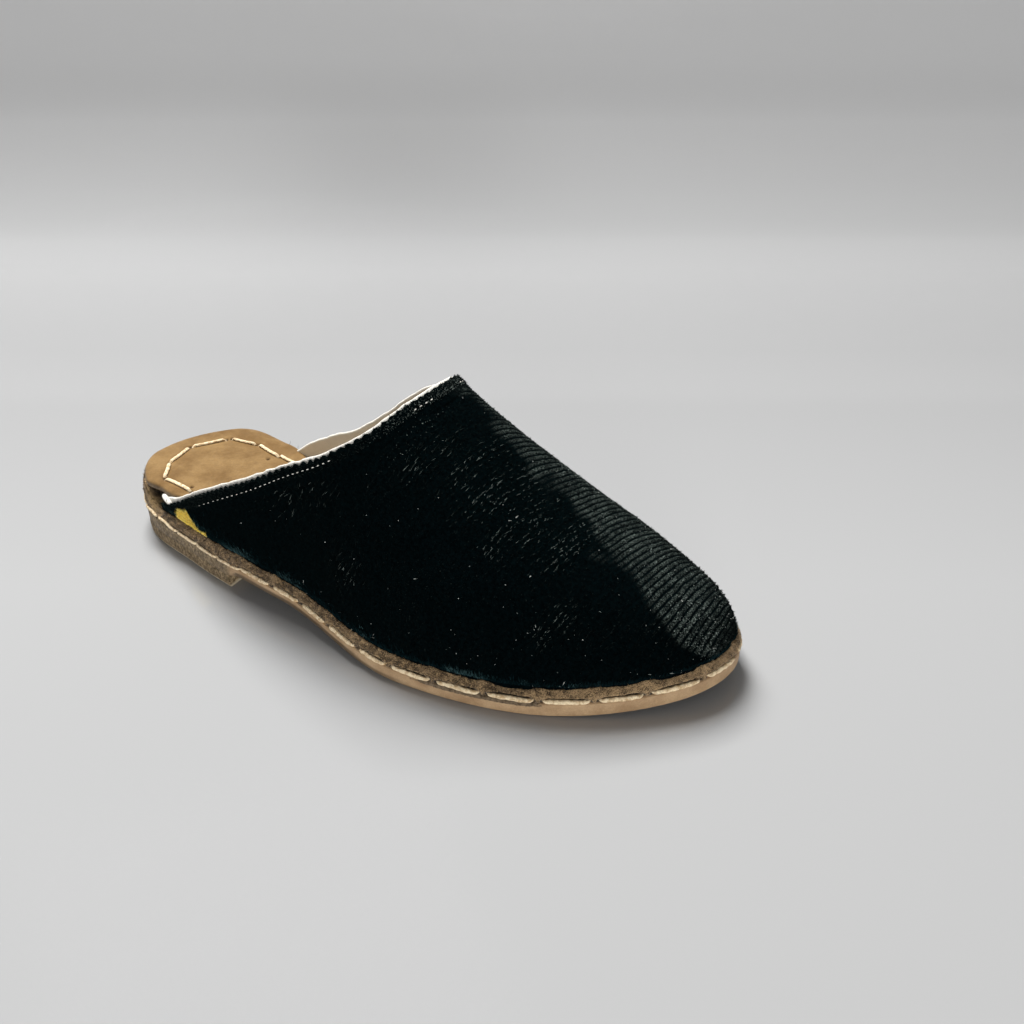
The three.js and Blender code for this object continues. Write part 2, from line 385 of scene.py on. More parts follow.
def rand_height(distance):
    x = outline(round_at(distance))[..., 0]
    return rand_top(x) - rand_foot(x) + rand_wave(distance)


def rand_surface(distance, share):
    """Points on the rand's outer face, from its foot at share 0 to its top edge at 1."""
    distance, share = np.broadcast_arrays(distance, share)
    x = outline(round_at(distance))[..., 0]
    heel = heel_share(x)
    height = rand_height(distance) * share
    window = stitch_window(distance)
    slope = lerp(HEEL_RAND_SLOPE, RAND_SLOPE, rand_fall(x))
    inset = slope * share**1.4 - 0.5 * np.sin(np.pi * np.clip(share, 0, 1))
    inset = inset + 1.3 * window * (1 - smoothstep(height, 1.35, 1.95))
    inset = inset - 0.25 * window * hump(height, 2.4, 0.5)
    inset = inset + 0.7 * heel * hump(height, 0.45, 0.5)
    lap = np.mod(distance, EDGE_LENGTH)[..., None]
    for places in (THICK_STARTS - HOLE_BEYOND, THICK_ENDS + HOLE_BEYOND):
        inset = inset + 1.2 * hump(lap, places, HOLE_BEYOND).max(-1) * hump(height, *WELT_HOLE)
    nap = 0.22 * along_noise(distance, height, 0.5, 5) + 0.3 * along_noise(distance, height, 1.5, 6)
    return on_welt(distance, inset - nap, height + 0.05)


# Velvet ribs
RIB_PITCH = 2.1
RIB_LEAN = (0.88, 0.3)
RIB_LEAN_ENDS = (95.0, 165.0)
RIB_SKEW = 0.2
LAST_TURN = 0.998


def rib_slant(points):
    """A measure that is the same all along one rib.

    The ribs run over the crest nearly square to the shoe, and lean forward as they climb the sides."""
    x, y, z = points[..., 0], points[..., 1], points[..., 2]
    skew = RIB_SKEW * (1 - smoothstep(x, 215, 246))
    return x - lerp(*RIB_LEAN, smoothstep(x, *RIB_LEAN_ENDS)) * z - skew * y


CREST = upper_face(0, np.linspace(0.5, LAST_TURN, 900))
CREST_SLANT = rib_slant(CREST)
CREST_RUN = run_length(CREST)


def rib_place(points):
    """Which rib a point of the velvet lies on, in millimetres across the ribs along the crest."""
    slant = rib_slant(points)
    behind = 0.9 * np.minimum(slant - CREST_SLANT[0], 0)
    waver = 0.75 * hash_noise(points / 13.0, 45) + 0.3 * hash_noise(points / 5.0, 46)
    return np.interp(slant, CREST_SLANT, CREST_RUN) + behind + waver


def top_edge_slope(girths):
    """Sine of the angle between the upper's top edge and its run towards the toe at each girth."""
    step = 1e-3
    before = np.clip(girths - step, -1, 1)
    after = np.clip(girths + step, -1, 1)
    edge = upper_face(after, topline_turn(after)) - upper_face(before, topline_turn(before))
    turns = topline_turn(girths)
    run = upper_face(girths, turns + 1e-3) - upper_face(girths, turns)
    return np.clip(np.linalg.norm(np.cross(unit(edge), unit(run)), axis=-1), 0.25, 1)


def turns_inside(girths, distances):
    """For each girth, the turns that lie the given distances inside the upper's top edge."""
    lead = 0.03
    start = topline_turn(girths)
    dense = np.clip(start[:, None] - lead + np.linspace(0, 0.2, 260)[None], 0, LAST_TURN)
    run = run_length(upper_face(girths[:, None], dense))
    at_edge = np.array([np.interp(s, d, r) for s, d, r in zip(start, dense, run)])
    wanted = distances / top_edge_slope(girths)[:, None] + at_edge[:, None]
    return np.stack([np.interp(w, r, d) for w, r, d in zip(wanted, run, dense)])


def step_inside(girths, distances):
    """Girths and turns of points square in from the upper's top edge, by distances for each girth."""
    step = 1e-3
    before = np.clip(girths - step, -0.9995, 0.9995)
    after = np.clip(girths + step, -0.9995, 0.9995)
    edge = unit(upper_face(after, topline_turn(after)) - upper_face(before, topline_turn(before)))
    girth = np.clip(girths, -0.9995, 0.9995)
    turn = topline_turn(girth)
    into = unit(np.cross(edge, upper_normal(girth, turn)))
    forward = upper_face(girth, turn + step) - upper_face(girth, turn)
    into = into * np.sign((into * forward).sum(-1, keepdims=True))
    goal = upper_face(girth, turn)[:, None] + into[:, None] * distances[..., None]
    girth = np.repeat(girth[:, None], distances.shape[1], axis=1)
    turn = np.repeat(turn[:, None], distances.shape[1], axis=1)
    for _ in range(7):
        here = upper_face(girth, turn)
        around = (upper_face(girth + 1e-4, turn) - here) / 1e-4
        along = (upper_face(girth, turn + 1e-4) - here) / 1e-4
        miss = goal - here
        aa, ll, al = (around * around).sum(-1), (along * along).sum(-1), (around * along).sum(-1)
        am, lm = (around * miss).sum(-1), (along * miss).sum(-1)
        area = np.maximum(aa * ll - al * al, 1e-6)
        girth = np.clip(girth + 0.8 * np.clip((am * ll - lm * al) / area, -0.05, 0.05), -0.9995, 0.9994)
        turn = np.clip(turn + 0.8 * np.clip((lm * aa - am * al) / area, -0.03, 0.03), 0.15, LAST_TURN)
    return girth, turn


def velvet_start(girths):
    """How far inside the lining's edge the velvet begins. It covers the lining at the two low ends."""
    climb = 1 - np.abs(girths)
    return lerp(0.1, lerp(1.7, 1.25, smoothstep(climb, 0.2, 0.5)), smoothstep(climb, 0.085, 0.125))


# The left border of the band of painted light on the pile over the crest and the toe, as turns and girths
LIT_BORDER = (
    (0.54, 0.04),
    (0.575, 0.08),
    (0.605, 0.01),
    (0.645, 0.05),
    (0.69, 0.0),
    (0.75, -0.05),
    (0.8, -0.15),
    (0.87, -0.44),
    (0.95, -0.8),
)


def lit_share(girths, turns):
    """Where light is painted on the pile: a band over the crest and the toe, from 0 to 1."""
    border = np.interp(turns, *zip(*LIT_BORDER))
    ragged = border + 0.09 * hash_noise(upper_face(girths, turns) / 5.5, 47)
    band = smoothstep(girths, ragged - 0.04, ragged + 0.04)
    dim = lerp(0.85, 1.0, smoothstep(turns, 0.56, 0.65)) * (1 - 0.5 * smoothstep(turns, 0.9, 0.96))
    broken = smoothstep(hash_noise(upper_face(girths, turns) / 2.6, 48), -0.7, 0.5)
    return band * dim * lerp(broken, 1, 0.45) * (1 - smoothstep(girths, 0.42, 0.75))


def peak_share(girths, turns):
    """Where the pile at the peak is ruffled and carries painted specks of light."""
    return hump(girths, -0.13, 0.2) * hump(turns, 0.538, 0.024)


# Meshes
def split_quads(faces):
    return np.concatenate([faces[:, [0, 1, 2]], faces[:, [0, 2, 3]]])


def turned_over(faces):
    """The same quads, seen from their other side and split along the same diagonal."""
    return faces[:, [0, 3, 2, 1]]


def join_parts(parts):
    """One set of points and faces from many."""
    offsets = np.cumsum([0] + [len(points) for points, _ in parts[:-1]])
    points = np.concatenate([points for points, _ in parts])
    return points, np.concatenate([faces + offset for (_, faces), offset in zip(parts, offsets)])


def make_piece(name, points, faces, material, smooth=True, attributes=None):
    """A mesh object in the row frame, from points in millimetres measured from the heel."""
    placed = (np.asarray(points, float) - [SOLE_LENGTH / 2, 0, 0]) * MM
    mesh = bpy.data.meshes.new(name)
    faces = np.asarray(faces)
    corners = faces.shape[1]
    mesh.vertices.add(len(placed))
    mesh.vertices.foreach_set("co", placed.astype(np.float32).ravel())
    mesh.loops.add(faces.size)
    mesh.loops.foreach_set("vertex_index", faces.astype(np.int32).ravel())
    mesh.polygons.add(len(faces))
    mesh.polygons.foreach_set("loop_start", np.arange(0, faces.size, corners, dtype=np.int32))
    mesh.update(calc_edges=True)
    mesh.validate()
    mesh.polygons.foreach_set("use_smooth", np.full(len(mesh.polygons), smooth))
    for key, values in (attributes or {}).items():
        layer = mesh.attributes.new(key, "FLOAT", "POINT")
        layer.data.foreach_set("value", np.asarray(values, np.float32).ravel())
    mesh.materials.append(material)
    piece = bpy.data.objects.new(name, mesh)
    bpy.context.scene.collection.objects.link(piece)
    return piece


def grid_faces(rows, columns, wrap_columns=False):
    """Quads of a grid of points that is stored row by row."""
    across = np.arange(columns if wrap_columns else columns - 1)
    r, c = np.meshgrid(np.arange(rows - 1), across, indexing="ij")
    ahead = (c + 1) % columns
    below = r * columns
    corners = [below + c, below + ahead, below + columns + ahead, below + columns + c]
    return np.stack(corners, -1).reshape(-1, 4)


def drop_flat(points, faces):
    """The mesh without quads that have shrunk to a point or line, and without unused points."""
    a, b, c, d = (points[faces[:, k]] for k in range(4))
    area = np.linalg.norm(np.cross(c - a, d - b), axis=1)
    faces = faces[area > 1e-4]
    used, renumbered = np.unique(faces, return_inverse=True)
    return used, renumbered.reshape(faces.shape)


def tube(path, radius, sides=10, squash=1.0, up=(0, 0, 1), ply=0.0, twist=0.0):
    """Points and triangles of a closed round or flattened tube along a path."""
    path = np.asarray(path, float)
    radius = np.broadcast_to(radius, len(path))
    tangent = unit(np.gradient(path, axis=0))
    side = unit(np.cross(np.broadcast_to(up, path.shape), tangent))
    over = np.cross(tangent, side)
    angle = np.arange(sides) * 2 * np.pi / sides
    strands = 1 + ply * np.cos(2 * (angle[None] - twist * run_length(path)[:, None]))
    reach = (radius[:, None] * strands)[..., None]
    turned = np.cos(angle)[None, :, None] * side[:, None]
    turned = turned + squash * np.sin(angle)[None, :, None] * over[:, None]
    points = np.concatenate([(path[:, None] + reach * turned).reshape(-1, 3), path[:1], path[-1:]])
    faces = [split_quads(grid_faces(len(path), sides, wrap_columns=True))]
    first, last = len(points) - 2, len(points) - 1
    here = np.arange(sides)
    ahead = (here + 1) % sides
    faces.append(np.stack([ahead, here, np.full(sides, first)], -1))
    top = (len(path) - 1) * sides
    faces.append(np.stack([top + here, top + ahead, np.full(sides, last)], -1))
    return points, np.concatenate(faces)


def spikes(name, roots, tips, widths, material, tone, seed=0):
    """Thin closed three-sided spikes from roots to tips, each with one tone for its colour."""
    rng = np.random.default_rng(seed)
    axis = unit(tips - roots)
    across = unit(np.cross(axis, rng.normal(size=axis.shape)))
    over = np.cross(axis, across)
    corners = []
    for angle in (0, 2 * np.pi / 3, 4 * np.pi / 3):
        offset = np.cos(angle) * across + np.sin(angle) * over
        corners.append(roots + offset * np.asarray(widths)[:, None] / 2)
    points = np.stack(corners + [tips], 1).reshape(-1, 3)
    one = np.array([[0, 2, 1], [0, 1, 3], [1, 2, 3], [2, 0, 3]])
    faces = (one[None] + 4 * np.arange(len(roots))[:, None, None]).reshape(-1, 3)
    return make_piece(name, points, faces, material, False, {"tone": np.repeat(tone, 4)})


# Materials
SPAN_ENDS = ("From Min", "From Max", "To Min", "To Max")


class Nodes:
    """A material's node tree, with short calls for what the materials here need."""

    def __init__(self, name):
        self.material = bpy.data.materials.new(name)
        self.material.use_nodes = True
        self.tree = self.material.node_tree
        self.shader = self.tree.nodes["Principled BSDF"]

    def set(self, **values):
        for key, value in values.items():
            self.shader.inputs[key.replace("_", " ")].default_value = value

    def link(self, source, target):
        self.tree.links.new(source, target)

    def fill(self, socket, value):
        """Link a socket, or set its value."""
        if hasattr(value, "is_output"):
            self.link(value, socket)
        elif isinstance(value, tuple) and len(value) == 3 and socket.type == "RGBA":
            socket.default_value = (*value, 1)
        else:
            socket.default_value = value

    def node(self, kind, **values):
        made = self.tree.nodes.new(kind)
        for key, value in values.items():
            if hasattr(made, key):
                setattr(made, key, value)
            else:
                self.fill(made.inputs[key.replace("_", " ")], value)
        return made

    def place(self, scale=(1, 1, 1)):
        """The point in millimetres, stretched by scale."""
        where = self.node("ShaderNodeTexCoord").outputs["Object"]
        size = tuple(s / MM for s in scale)
        return self.node("ShaderNodeMapping", Vector=where, Scale=size).outputs[0]

    def noise(self, scale, detail=4.0, roughness=0.55, vector=None):
        vector = vector or self.place()
        values = dict(Vector=vector, Scale=scale, Detail=detail, Roughness=roughness)
        return self.node("ShaderNodeTexNoise", **values).outputs["Fac"]

    def ramp(self, factor, *stops):
        made = self.node("ShaderNodeValToRGB", Fac=factor)
        elements = made.color_ramp.elements
        while len(elements) < len(stops):
            elements.new(0.5)
        for element, (place, colour) in zip(elements, stops):
            element.position = place
            element.color = (*colour, 1)
        return made.outputs["Color"]

    def span(self, factor, low, high, to_low=0.0, to_high=1.0):
        made = self.node("ShaderNodeMapRange", Value=factor)
        for key, value in zip(SPAN_ENDS, (low, high, to_low, to_high)):
            made.inputs[key].default_value = value
        return made.outputs["Result"]

    def mix(self, factor, a, b, blend="MIX"):
        made = self.node("ShaderNodeMix", data_type="RGBA", blend_type=blend)
        for socket, value in ((made.inputs[0], factor), (made.inputs[6], a), (made.inputs[7], b)):
            self.fill(socket, value)
        return made.outputs[2]

    def grey(self, value):
        return self.node("ShaderNodeCombineColor", Red=value, Green=value, Blue=value).outputs[0]

    def math(self, operation, a, b):
        made = self.node("ShaderNodeMath", operation=operation)
        for socket, value in zip(made.inputs, (a, b)):
            self.fill(socket, value)
        return made.outputs[0]

    def attribute(self, name):
        return self.node("ShaderNodeAttribute", attribute_name=name).outputs["Fac"]

    def bump(self, height, depth):
        """Raise the surface by a height map, over the bumps already there, to a depth in mm."""
        before = self.shader.inputs["Normal"].links
        made = self.node("ShaderNodeBump", Height=height, Distance=depth * MM, Strength=1.0)
        if before:
            self.link(before[0].from_socket, made.inputs["Normal"])
        self.link(made.outputs["Normal"], self.shader.inputs["Normal"])

    def colour(self, socket):
        self.link(socket, self.shader.inputs["Base Color"])

    def roughness(self, socket):
        self.link(socket, self.shader.inputs["Roughness"])


HEEL_LIGHT = (0.365, 0.27, 0.158)
HEEL_DARK = (0.062, 0.041, 0.021)
WAIST_LIGHT = (0.21, 0.155, 0.1)
WAIST_DARK = (0.06, 0.04, 0.022)
INSOLE_EDGE_LIGHT = (0.2, 0.14, 0.075)
INSOLE_EDGE_DARK = (0.045, 0.03, 0.016)
RAND_DARK = (0.02, 0.011, 0.005)
RAND_MID = (0.085, 0.052, 0.024)
RAND_LIGHT = (0.46, 0.31, 0.16)


def rough_colours(m, light, dark):
    """Colours of leather's fibrous cut side: upright streaks over a coarse nap."""
    streaks = m.noise(0.8, 5, 0.7, m.place((1.0, 1.0, 0.8)))
    nap = m.noise(2.6, 3, 0.7)
    mixed = m.math("ADD", m.math("MULTIPLY", streaks, 0.6), m.math("MULTIPLY", nap, 0.4))
    middle = tuple(lerp(np.array(dark), np.array(light), 0.45))
    return m.ramp(mixed, (0.41, dark), (0.5, middle), (0.59, light))


def insole_material():
    """Smooth tan leather with soft clouds, fine pores, a darker edge and painted shade in its awl holes."""
    m = Nodes("insole_leather")
    clouds = m.ramp(m.noise(0.09, 6, 0.62), (0.38, (0.18, 0.103, 0.039)), (0.62, (0.27, 0.167, 0.069)))
    speckle = m.span(m.noise(1.3, 4, 0.65), 0.3, 0.7, 0.86, 1.1)
    mottled = m.mix(1.0, clouds, m.grey(speckle), "MULTIPLY")
    cut_edge = rough_colours(m, INSOLE_EDGE_LIGHT, INSOLE_EDGE_DARK)
    side = m.mix(m.math("MULTIPLY", m.attribute("edge"), 0.75), mottled, cut_edge)
    # Painted shade in the awl holes
    m.colour(m.mix(m.attribute("hole"), side, (0.035, 0.016, 0.006)))
    m.roughness(m.span(m.noise(0.4, 4), 0.3, 0.7, 0.44, 0.6))
    pores = m.node("ShaderNodeTexVoronoi", Vector=m.place(), Scale=1.8).outputs["Distance"]
    m.bump(pores, 0.035)
    m.bump(m.noise(0.35, 4), 0.12)
    return m.material


def sole_material():
    """The outsole: light smooth cut edge at the forefoot, brown rough edge at the waist and heel, with
    painted shade underneath and in the heel's seam.
    """
    m = Nodes("sole_leather")
    light = m.ramp(m.noise(0.12, 5, 0.6), (0.36, (0.345, 0.22, 0.118)), (0.64, (0.5, 0.345, 0.2)))
    speckle = m.span(m.noise(2.4, 3), 0.3, 0.7, 0.86, 1.1)
    light = m.mix(1.0, light, m.grey(speckle), "MULTIPLY")
    brown = rough_colours(m, WAIST_LIGHT, WAIST_DARK)
    ragged = m.math("ADD", m.attribute("brown"), m.span(m.noise(1.1, 4, 0.7), 0.2, 0.8, -0.35, 0.35))
    mixed = m.mix(m.span(ragged, 0.4, 0.6), light, brown)
    heel = rough_colours(m, HEEL_LIGHT, HEEL_DARK)
    mixed = m.mix(m.attribute("heel"), mixed, heel)
    # Painted shade in the ragged seam over the heel block
    mixed = m.mix(m.attribute("gap"), mixed, (0.012, 0.007, 0.003))
    # Painted shade underneath and on the lower edge at the waist
    m.colour(m.mix(m.math("MULTIPLY", m.attribute("under_shade"), 0.85), mixed, (0.07, 0.048, 0.028)))
    m.roughness(m.span(m.noise(0.4, 4), 0.3, 0.7, 0.5, 0.72))
    m.bump(m.noise(1.5, 4, 0.6), 0.12)
    return m.material


def heel_material():
    """The heel block's rough brown-grey side, with a lighter worn bottom edge."""
    m = Nodes("heel_leather")
    side = rough_colours(m, HEEL_LIGHT, HEEL_DARK)
    worn = m.mix(m.noise(1.4, 4), (0.36, 0.3, 0.21), (0.56, 0.48, 0.35))
    m.colour(m.mix(m.attribute("worn"), side, worn))
    m.set(Roughness=0.82)
    m.bump(m.noise(1.0, 4, 0.65, m.place((1.0, 1.0, 0.7))), 0.3)
    m.bump(m.noise(3.0, 3, 0.7), 0.15)
    return m.material


def rand_material():
    """Brown suede with a coarse light and dark nap, golden where its flesh side turns up, with painted shade
    in its holes and grooves.
    """
    m = Nodes("rand_suede")
    nap = m.noise(3.6, 4, 0.75)
    patches = m.math("MULTIPLY", m.noise(0.45, 4, 0.6), 0.45)
    patches = m.math("ADD", patches, m.math("MULTIPLY", m.attribute("toe"), 0.05))
    suede = m.ramp(m.math("ADD", nap, patches), (0.64, RAND_DARK), (0.715, RAND_MID), (0.8, RAND_LIGHT))
    gold = m.ramp(nap, (0.3, (0.13, 0.075, 0.03)), (0.65, (0.5, 0.34, 0.15)))
    worn = m.mix(m.attribute("gold"), suede, gold)
    # Painted shade in the awl holes, the groove over each stitch and the heel seam's foot
    m.colour(m.mix(m.attribute("pit"), worn, (0.008, 0.004, 0.002)))
    m.set(Roughness=0.95, Sheen_Weight=0.15, Sheen_Roughness=0.6, Specular_IOR_Level=0.15)
    m.bump(nap, 0.35)
    m.bump(m.noise(4.0, 3, 0.7), 0.12)
    return m.material


def velvet_material():
    """The black ground of the velvet, with light painted on its ribs over the crest and the toe."""
    m = Nodes("velvet")
    patches = m.noise(0.9, 4, 0.7)
    black = m.ramp(patches, (0.35, (0.0004, 0.0011, 0.0014)), (0.7, (0.0014, 0.0042, 0.0048)))
    beads = m.noise(1.9, 4, 0.7)
    painted_lit_pile = m.ramp(beads, (0.44, (0.0014, 0.0025, 0.0025)), (0.6, (0.085, 0.105, 0.094)))
    # Painted light: the ribs in the lit band take a lighter grey-green
    crest = m.math("MULTIPLY", m.attribute("lit"), m.attribute("ridge"))
    m.colour(m.mix(crest, black, painted_lit_pile))
    m.set(Roughness=0.95, Specular_IOR_Level=0.0, Sheen_Weight=0.006, Sheen_Roughness=0.4)
    m.set(Sheen_Tint=(0.62, 0.8, 0.74, 1))
    m.bump(m.noise(1.8, 4, 0.7), 0.4)
    return m.material


def pile_material(name, stops):
    """Fibres coloured from dark to light by their tone."""
    m = Nodes(name)
    m.colour(m.ramp(m.attribute("tone"), *stops))
    m.set(Roughness=0.95, Specular_IOR_Level=0.0)
    return m.material


def lining_material():
    """Cream lining leather, whiter along its cut edge."""
    m = Nodes("lining_leather")
    inside_face = m.ramp(m.noise(0.1, 4), (0.35, (0.82, 0.79, 0.69)), (0.65, (0.92, 0.89, 0.8)))
    edge = m.ramp(m.noise(1.2, 4, 0.65), (0.3, (0.6, 0.565, 0.49)), (0.55, (0.86, 0.83, 0.76)))
    m.colour(m.mix(m.attribute("inside"), edge, inside_face))
    m.set(Roughness=0.65)
    m.bump(m.noise(1.4, 4), 0.12)
    return m.material


def thread_material():
    """Waxed cream thread, mottled, with darker dirt in places."""
    m = Nodes("waxed_thread")
    wax = m.ramp(m.noise(0.8, 4), (0.34, (0.55, 0.37, 0.19)), (0.58, (0.92, 0.76, 0.51)))
    dirt = m.span(m.noise(2.6, 4, 0.7), 0.3, 0.6, 0.75, 1.05)
    m.colour(m.mix(1.0, wax, m.grey(dirt), "MULTIPLY"))
    m.set(Roughness=0.6)
    m.bump(m.noise(2.6, 4, 0.65), 0.16)
    return m.material


insole_leather = insole_material()
sole_leather = sole_material()
heel_leather = heel_material()
rand_suede = rand_material()
velvet = velvet_material()
lining_leather = lining_material()
waxed_thread = thread_material()

# Colours of the fibres: the tone and colour of each stop
FIBRES = {
    "suede_fibre": ((0, RAND_DARK), (0.5, (0.14, 0.088, 0.042)), (1, (0.52, 0.37, 0.21))),
    "velvet_pile": ((0, (0.0006, 0.0013, 0.0015)), (0.45, (0.014, 0.019, 0.0175)), (1, (0.2, 0.235, 0.215))),
    "edge_pile": ((0, (0.0008, 0.0024, 0.003)), (0.5, (0.008, 0.024, 0.028)), (1, (0.06, 0.115, 0.12))),
    "ikat_pile": ((0, (0.42, 0.2, 0.015)), (0.3, (0.95, 0.66, 0.04)), (1, (1.0, 0.88, 0.3))),
    "lint_fibre": ((0, (0.12, 0.14, 0.13)), (1, (0.62, 0.64, 0.6))),
}
fibres = {name: pile_material(name, stops) for name, stops in FIBRES.items()}

# Sole, from the bottom up
EDGE_STEPS = 900
CAP_STEPS = 10


def sole_points(rounds, distance, height):
    """Points inside the outline by a distance, at a height that follows their length."""
    flat = inside(rounds, np.broadcast_to(distance, rounds.shape))
    return np.concatenate([flat, np.broadcast_to(height(flat[:, 0]), rounds.shape)[:, None]], 1)


def cap_rows(loop, steps):
    """Rows of points across a closed loop from the heel, from its lateral half to its medial."""
    half = len(loop) // 2
    lateral = loop[: half + 1]
    medial = np.concatenate([loop[:1], loop[: len(loop) - half - 1 : -1]])
    share = np.linspace(0, 1, steps + 1)[:, None, None]
    return lerp(lateral[None], medial[None], share)


def closed_stack(loops, steps=CAP_STEPS):
    """Points and quads of a solid through closed loops, bottom one first, with both ends capped."""
    count = len(loops[0])
    points = np.concatenate(loops)
    faces = [grid_faces(len(loops), count, wrap_columns=True)]
    for loop, first in ((loops[0], True), (loops[-1], False)):
        rows = cap_rows(loop, steps)
        across = grid_faces(rows.shape[0], rows.shape[1]) + len(points)
        faces.append(turned_over(across if first else across[:, ::-1]))
        points = np.concatenate([points, rows.reshape(-1, 3)])
    return points, np.concatenate(faces)


def loop_rounds(steps=EDGE_STEPS, last_turn=1.0):
    """Rounds all the way round, or round the back as far as a turn on each side."""
    if last_turn == 1.0:
        return np.linspace(0, 2, steps, endpoint=False)
    lateral = np.linspace(0, last_turn, steps // 2 + 1)
    return np.concatenate([lateral, 2 - lateral[-1:0:-1]])


GRAIN_SIZE = 1.3
GRAIN_SEED = 11


def roughen(points, amount):
    """How far points of the sole's side move in or out, from a coarse grain and a fine one."""
    noise = hash_noise(points / np.array([GRAIN_SIZE, GRAIN_SIZE, GRAIN_SIZE * 2.5]), GRAIN_SEED)
    fine = hash_noise(points / (GRAIN_SIZE * 0.35), GRAIN_SEED + 1)
    return amount * (0.65 * noise + 0.35 * fine)


BEVEL = 0.9
WAIST_BEVEL = 6.0


def bevel_rise(x):
    """How far the outsole's bevel climbs: most of the edge at the waist, hardly any at the heel."""
    plain = lerp(BEVEL, 0.2, heel_share(x))
    return lerp(plain, OUTSOLE_THICKNESS - BEVEL - WAIST_EDGE, waist_share(x))


def outsole_loops():
    rounds = loop_rounds()
    x = outline(rounds)[:, 0]
    heel = heel_share(x)
    bevel = lerp(lerp(BEVEL, 0.1, heel), WAIST_BEVEL, waist_share(x))

    def above(share):
        return lambda at: outsole_underside(at) + lerp(bevel_rise(at), OUTSOLE_THICKNESS, share)

    levels = [(bevel, outsole_underside)]
    for inset, share in ((0.55, 0.3), (0.2, 0.68), (0.05, 0.9)):
        levels.append((bevel * inset, lambda at, s=share: outsole_underside(at) + bevel_rise(at) * s))
    for share in (0.0, 0.2, 0.4, 0.6, 0.8, 0.9):
        levels.append((-0.08 * np.sin(np.pi * share), above(share)))
    levels += [(0.15, above(0.97)), (0.9, outsole_top)]
    loops = [sole_points(rounds, distance, height) for distance, height in levels]
    for loop in loops[1:-1]:
        push = roughen(loop, lerp(0.06, 0.2, heel))
        loop[:, :2] -= inward(rounds) * push[:, None]
    return loops


# Where the lower part of the outsole's edge is painted in shade, by length: two ramps
PAINTED_SHADE_RUN = ((HEEL_LENGTH, HEEL_LENGTH + 6), (125, 190))

# Where the outsole's upper edge is brown and rough, on the lateral and on the medial side
BROWN_RUN = ((150, 172), (198, 208))
MEDIAL_BROWN_END = (180, 200)


def outsole_masks(points):
    """Where the outsole is brown and heel-coloured, and where shade is painted underneath, on the waist's
    lower edge and in the heel's ragged seam.
    """
    x, z = points[:, 0], points[:, 2]
    lateral = points[:, 1] < middle_at(x)
    above_bevel = z - outsole_underside(x) - bevel_rise(x)
    thin = between(x, *PAINTED_SHADE_RUN)
    # Painted shade on the lower edge at the waist and underneath
    low = thin * smoothstep(above_bevel - 1.8 * thin, 0.2, -0.2)
    under_shade = np.maximum(smoothstep(z - outsole_underside(x), 0.4, 0.0), low)
    upper_part = 1 - smoothstep(outsole_top(x) - z, 0.9, 1.9)
    brown = upper_part * np.where(lateral, between(x, *BROWN_RUN), 1 - smoothstep(x, *MEDIAL_BROWN_END))
    turn = turn_at(x / SOLE_LENGTH)
    distance = distance_at(np.where(lateral, turn, 2 - turn))
    # Painted shade along the ragged seam over the heel block
    below_seam = rand_foot(x) + seam_height(distance) - z
    gap = between(below_seam, (-0.2, 0.1), (0.75, 1.3)) * heel_share(x)
    gap = gap * smoothstep(along_noise(distance, 0, 6.0, 24), -0.25, 0.3)
    return {"brown": brown, "heel": heel_share(x), "under_shade": under_shade, "gap": gap}


def outsole_piece():
    points, faces = closed_stack(outsole_loops())
    masks = outsole_masks(points)
    return make_piece("outsole_leather", points, faces, sole_leather, attributes=masks)


def heel_piece():
    last = float(turn_at(HEEL_LENGTH / SOLE_LENGTH))
    rounds = loop_rounds(420, last)
    levels = [(1.5, 0.0), (0.75, 0.25), (0.25, 0.7), (0.02, 1.15)]
    levels += [(0.0, height) for height in np.linspace(1.6, HEEL_HEIGHT - 0.4, 7)]
    levels += [(0.05, HEEL_HEIGHT + 0.02)]
    loops = []
    for distance, height in levels:
        loop = sole_points(rounds, distance, lambda at: np.full_like(at, height))
        flat = np.abs(loop[:, 0] - HEEL_LENGTH) < 0.01
        push = roughen(loop, 0.2) * smoothstep(height, 0.3, 1.4)
        loop[:, :2] -= inward(rounds) * push[:, None]
        loop[:, 0] = np.minimum(loop[:, 0], HEEL_LENGTH - max(0, 0.5 - height) * flat)
        loops.append(loop)
    points, faces = closed_stack(loops)
    z = points[:, 2]
    ragged = 0.35 * hash_noise(points / 2.5, 13)
    worn = smoothstep(z, 0.05, 0.25) * (1 - smoothstep(z + ragged, 1.1, 1.5))
    return make_piece("heel_block", points, faces, heel_leather, attributes={"worn": worn})


RAND_SHARES = np.linspace(0, 1, 17)


def rand_masks(distance, x, top, count):
    """Where the rand carries painted shade in its holes, grooves and heel seam, where it is golden, and
    where it is lighter at the toe.
    """
    lap = distance[:, None]
    holes = (THICK_STARTS - HOLE_BEYOND, THICK_ENDS + HOLE_BEYOND)
    near = np.maximum(*(hump(lap, places, 0.7).max(-1) for places in holes))
    window = stitch_window(distance)
    shares = np.concatenate([[0], RAND_SHARES, [1, 1, 1, 0]])[:, None]
    height = shares * top
    groove = window * (1 - smoothstep(height, 1.5, 1.9))
    seam = 0.5 * heel_share(x) * (1 - smoothstep(height, 0.2, 0.6))
    masks = {
        "pit": np.clip(1.2 * near * hump(height, *WELT_HOLE) + groove + seam, 0, 1),
        "gold": hump(distance, GOLD_PLACE, GOLD_WIDTH) * smoothstep(shares, 0.45, 0.75),
        "toe": np.broadcast_to(smoothstep(x, 180, 225), height.shape),
    }
    return {name: np.pad(mask.ravel(), (0, count - mask.size)) for name, mask in masks.items()}


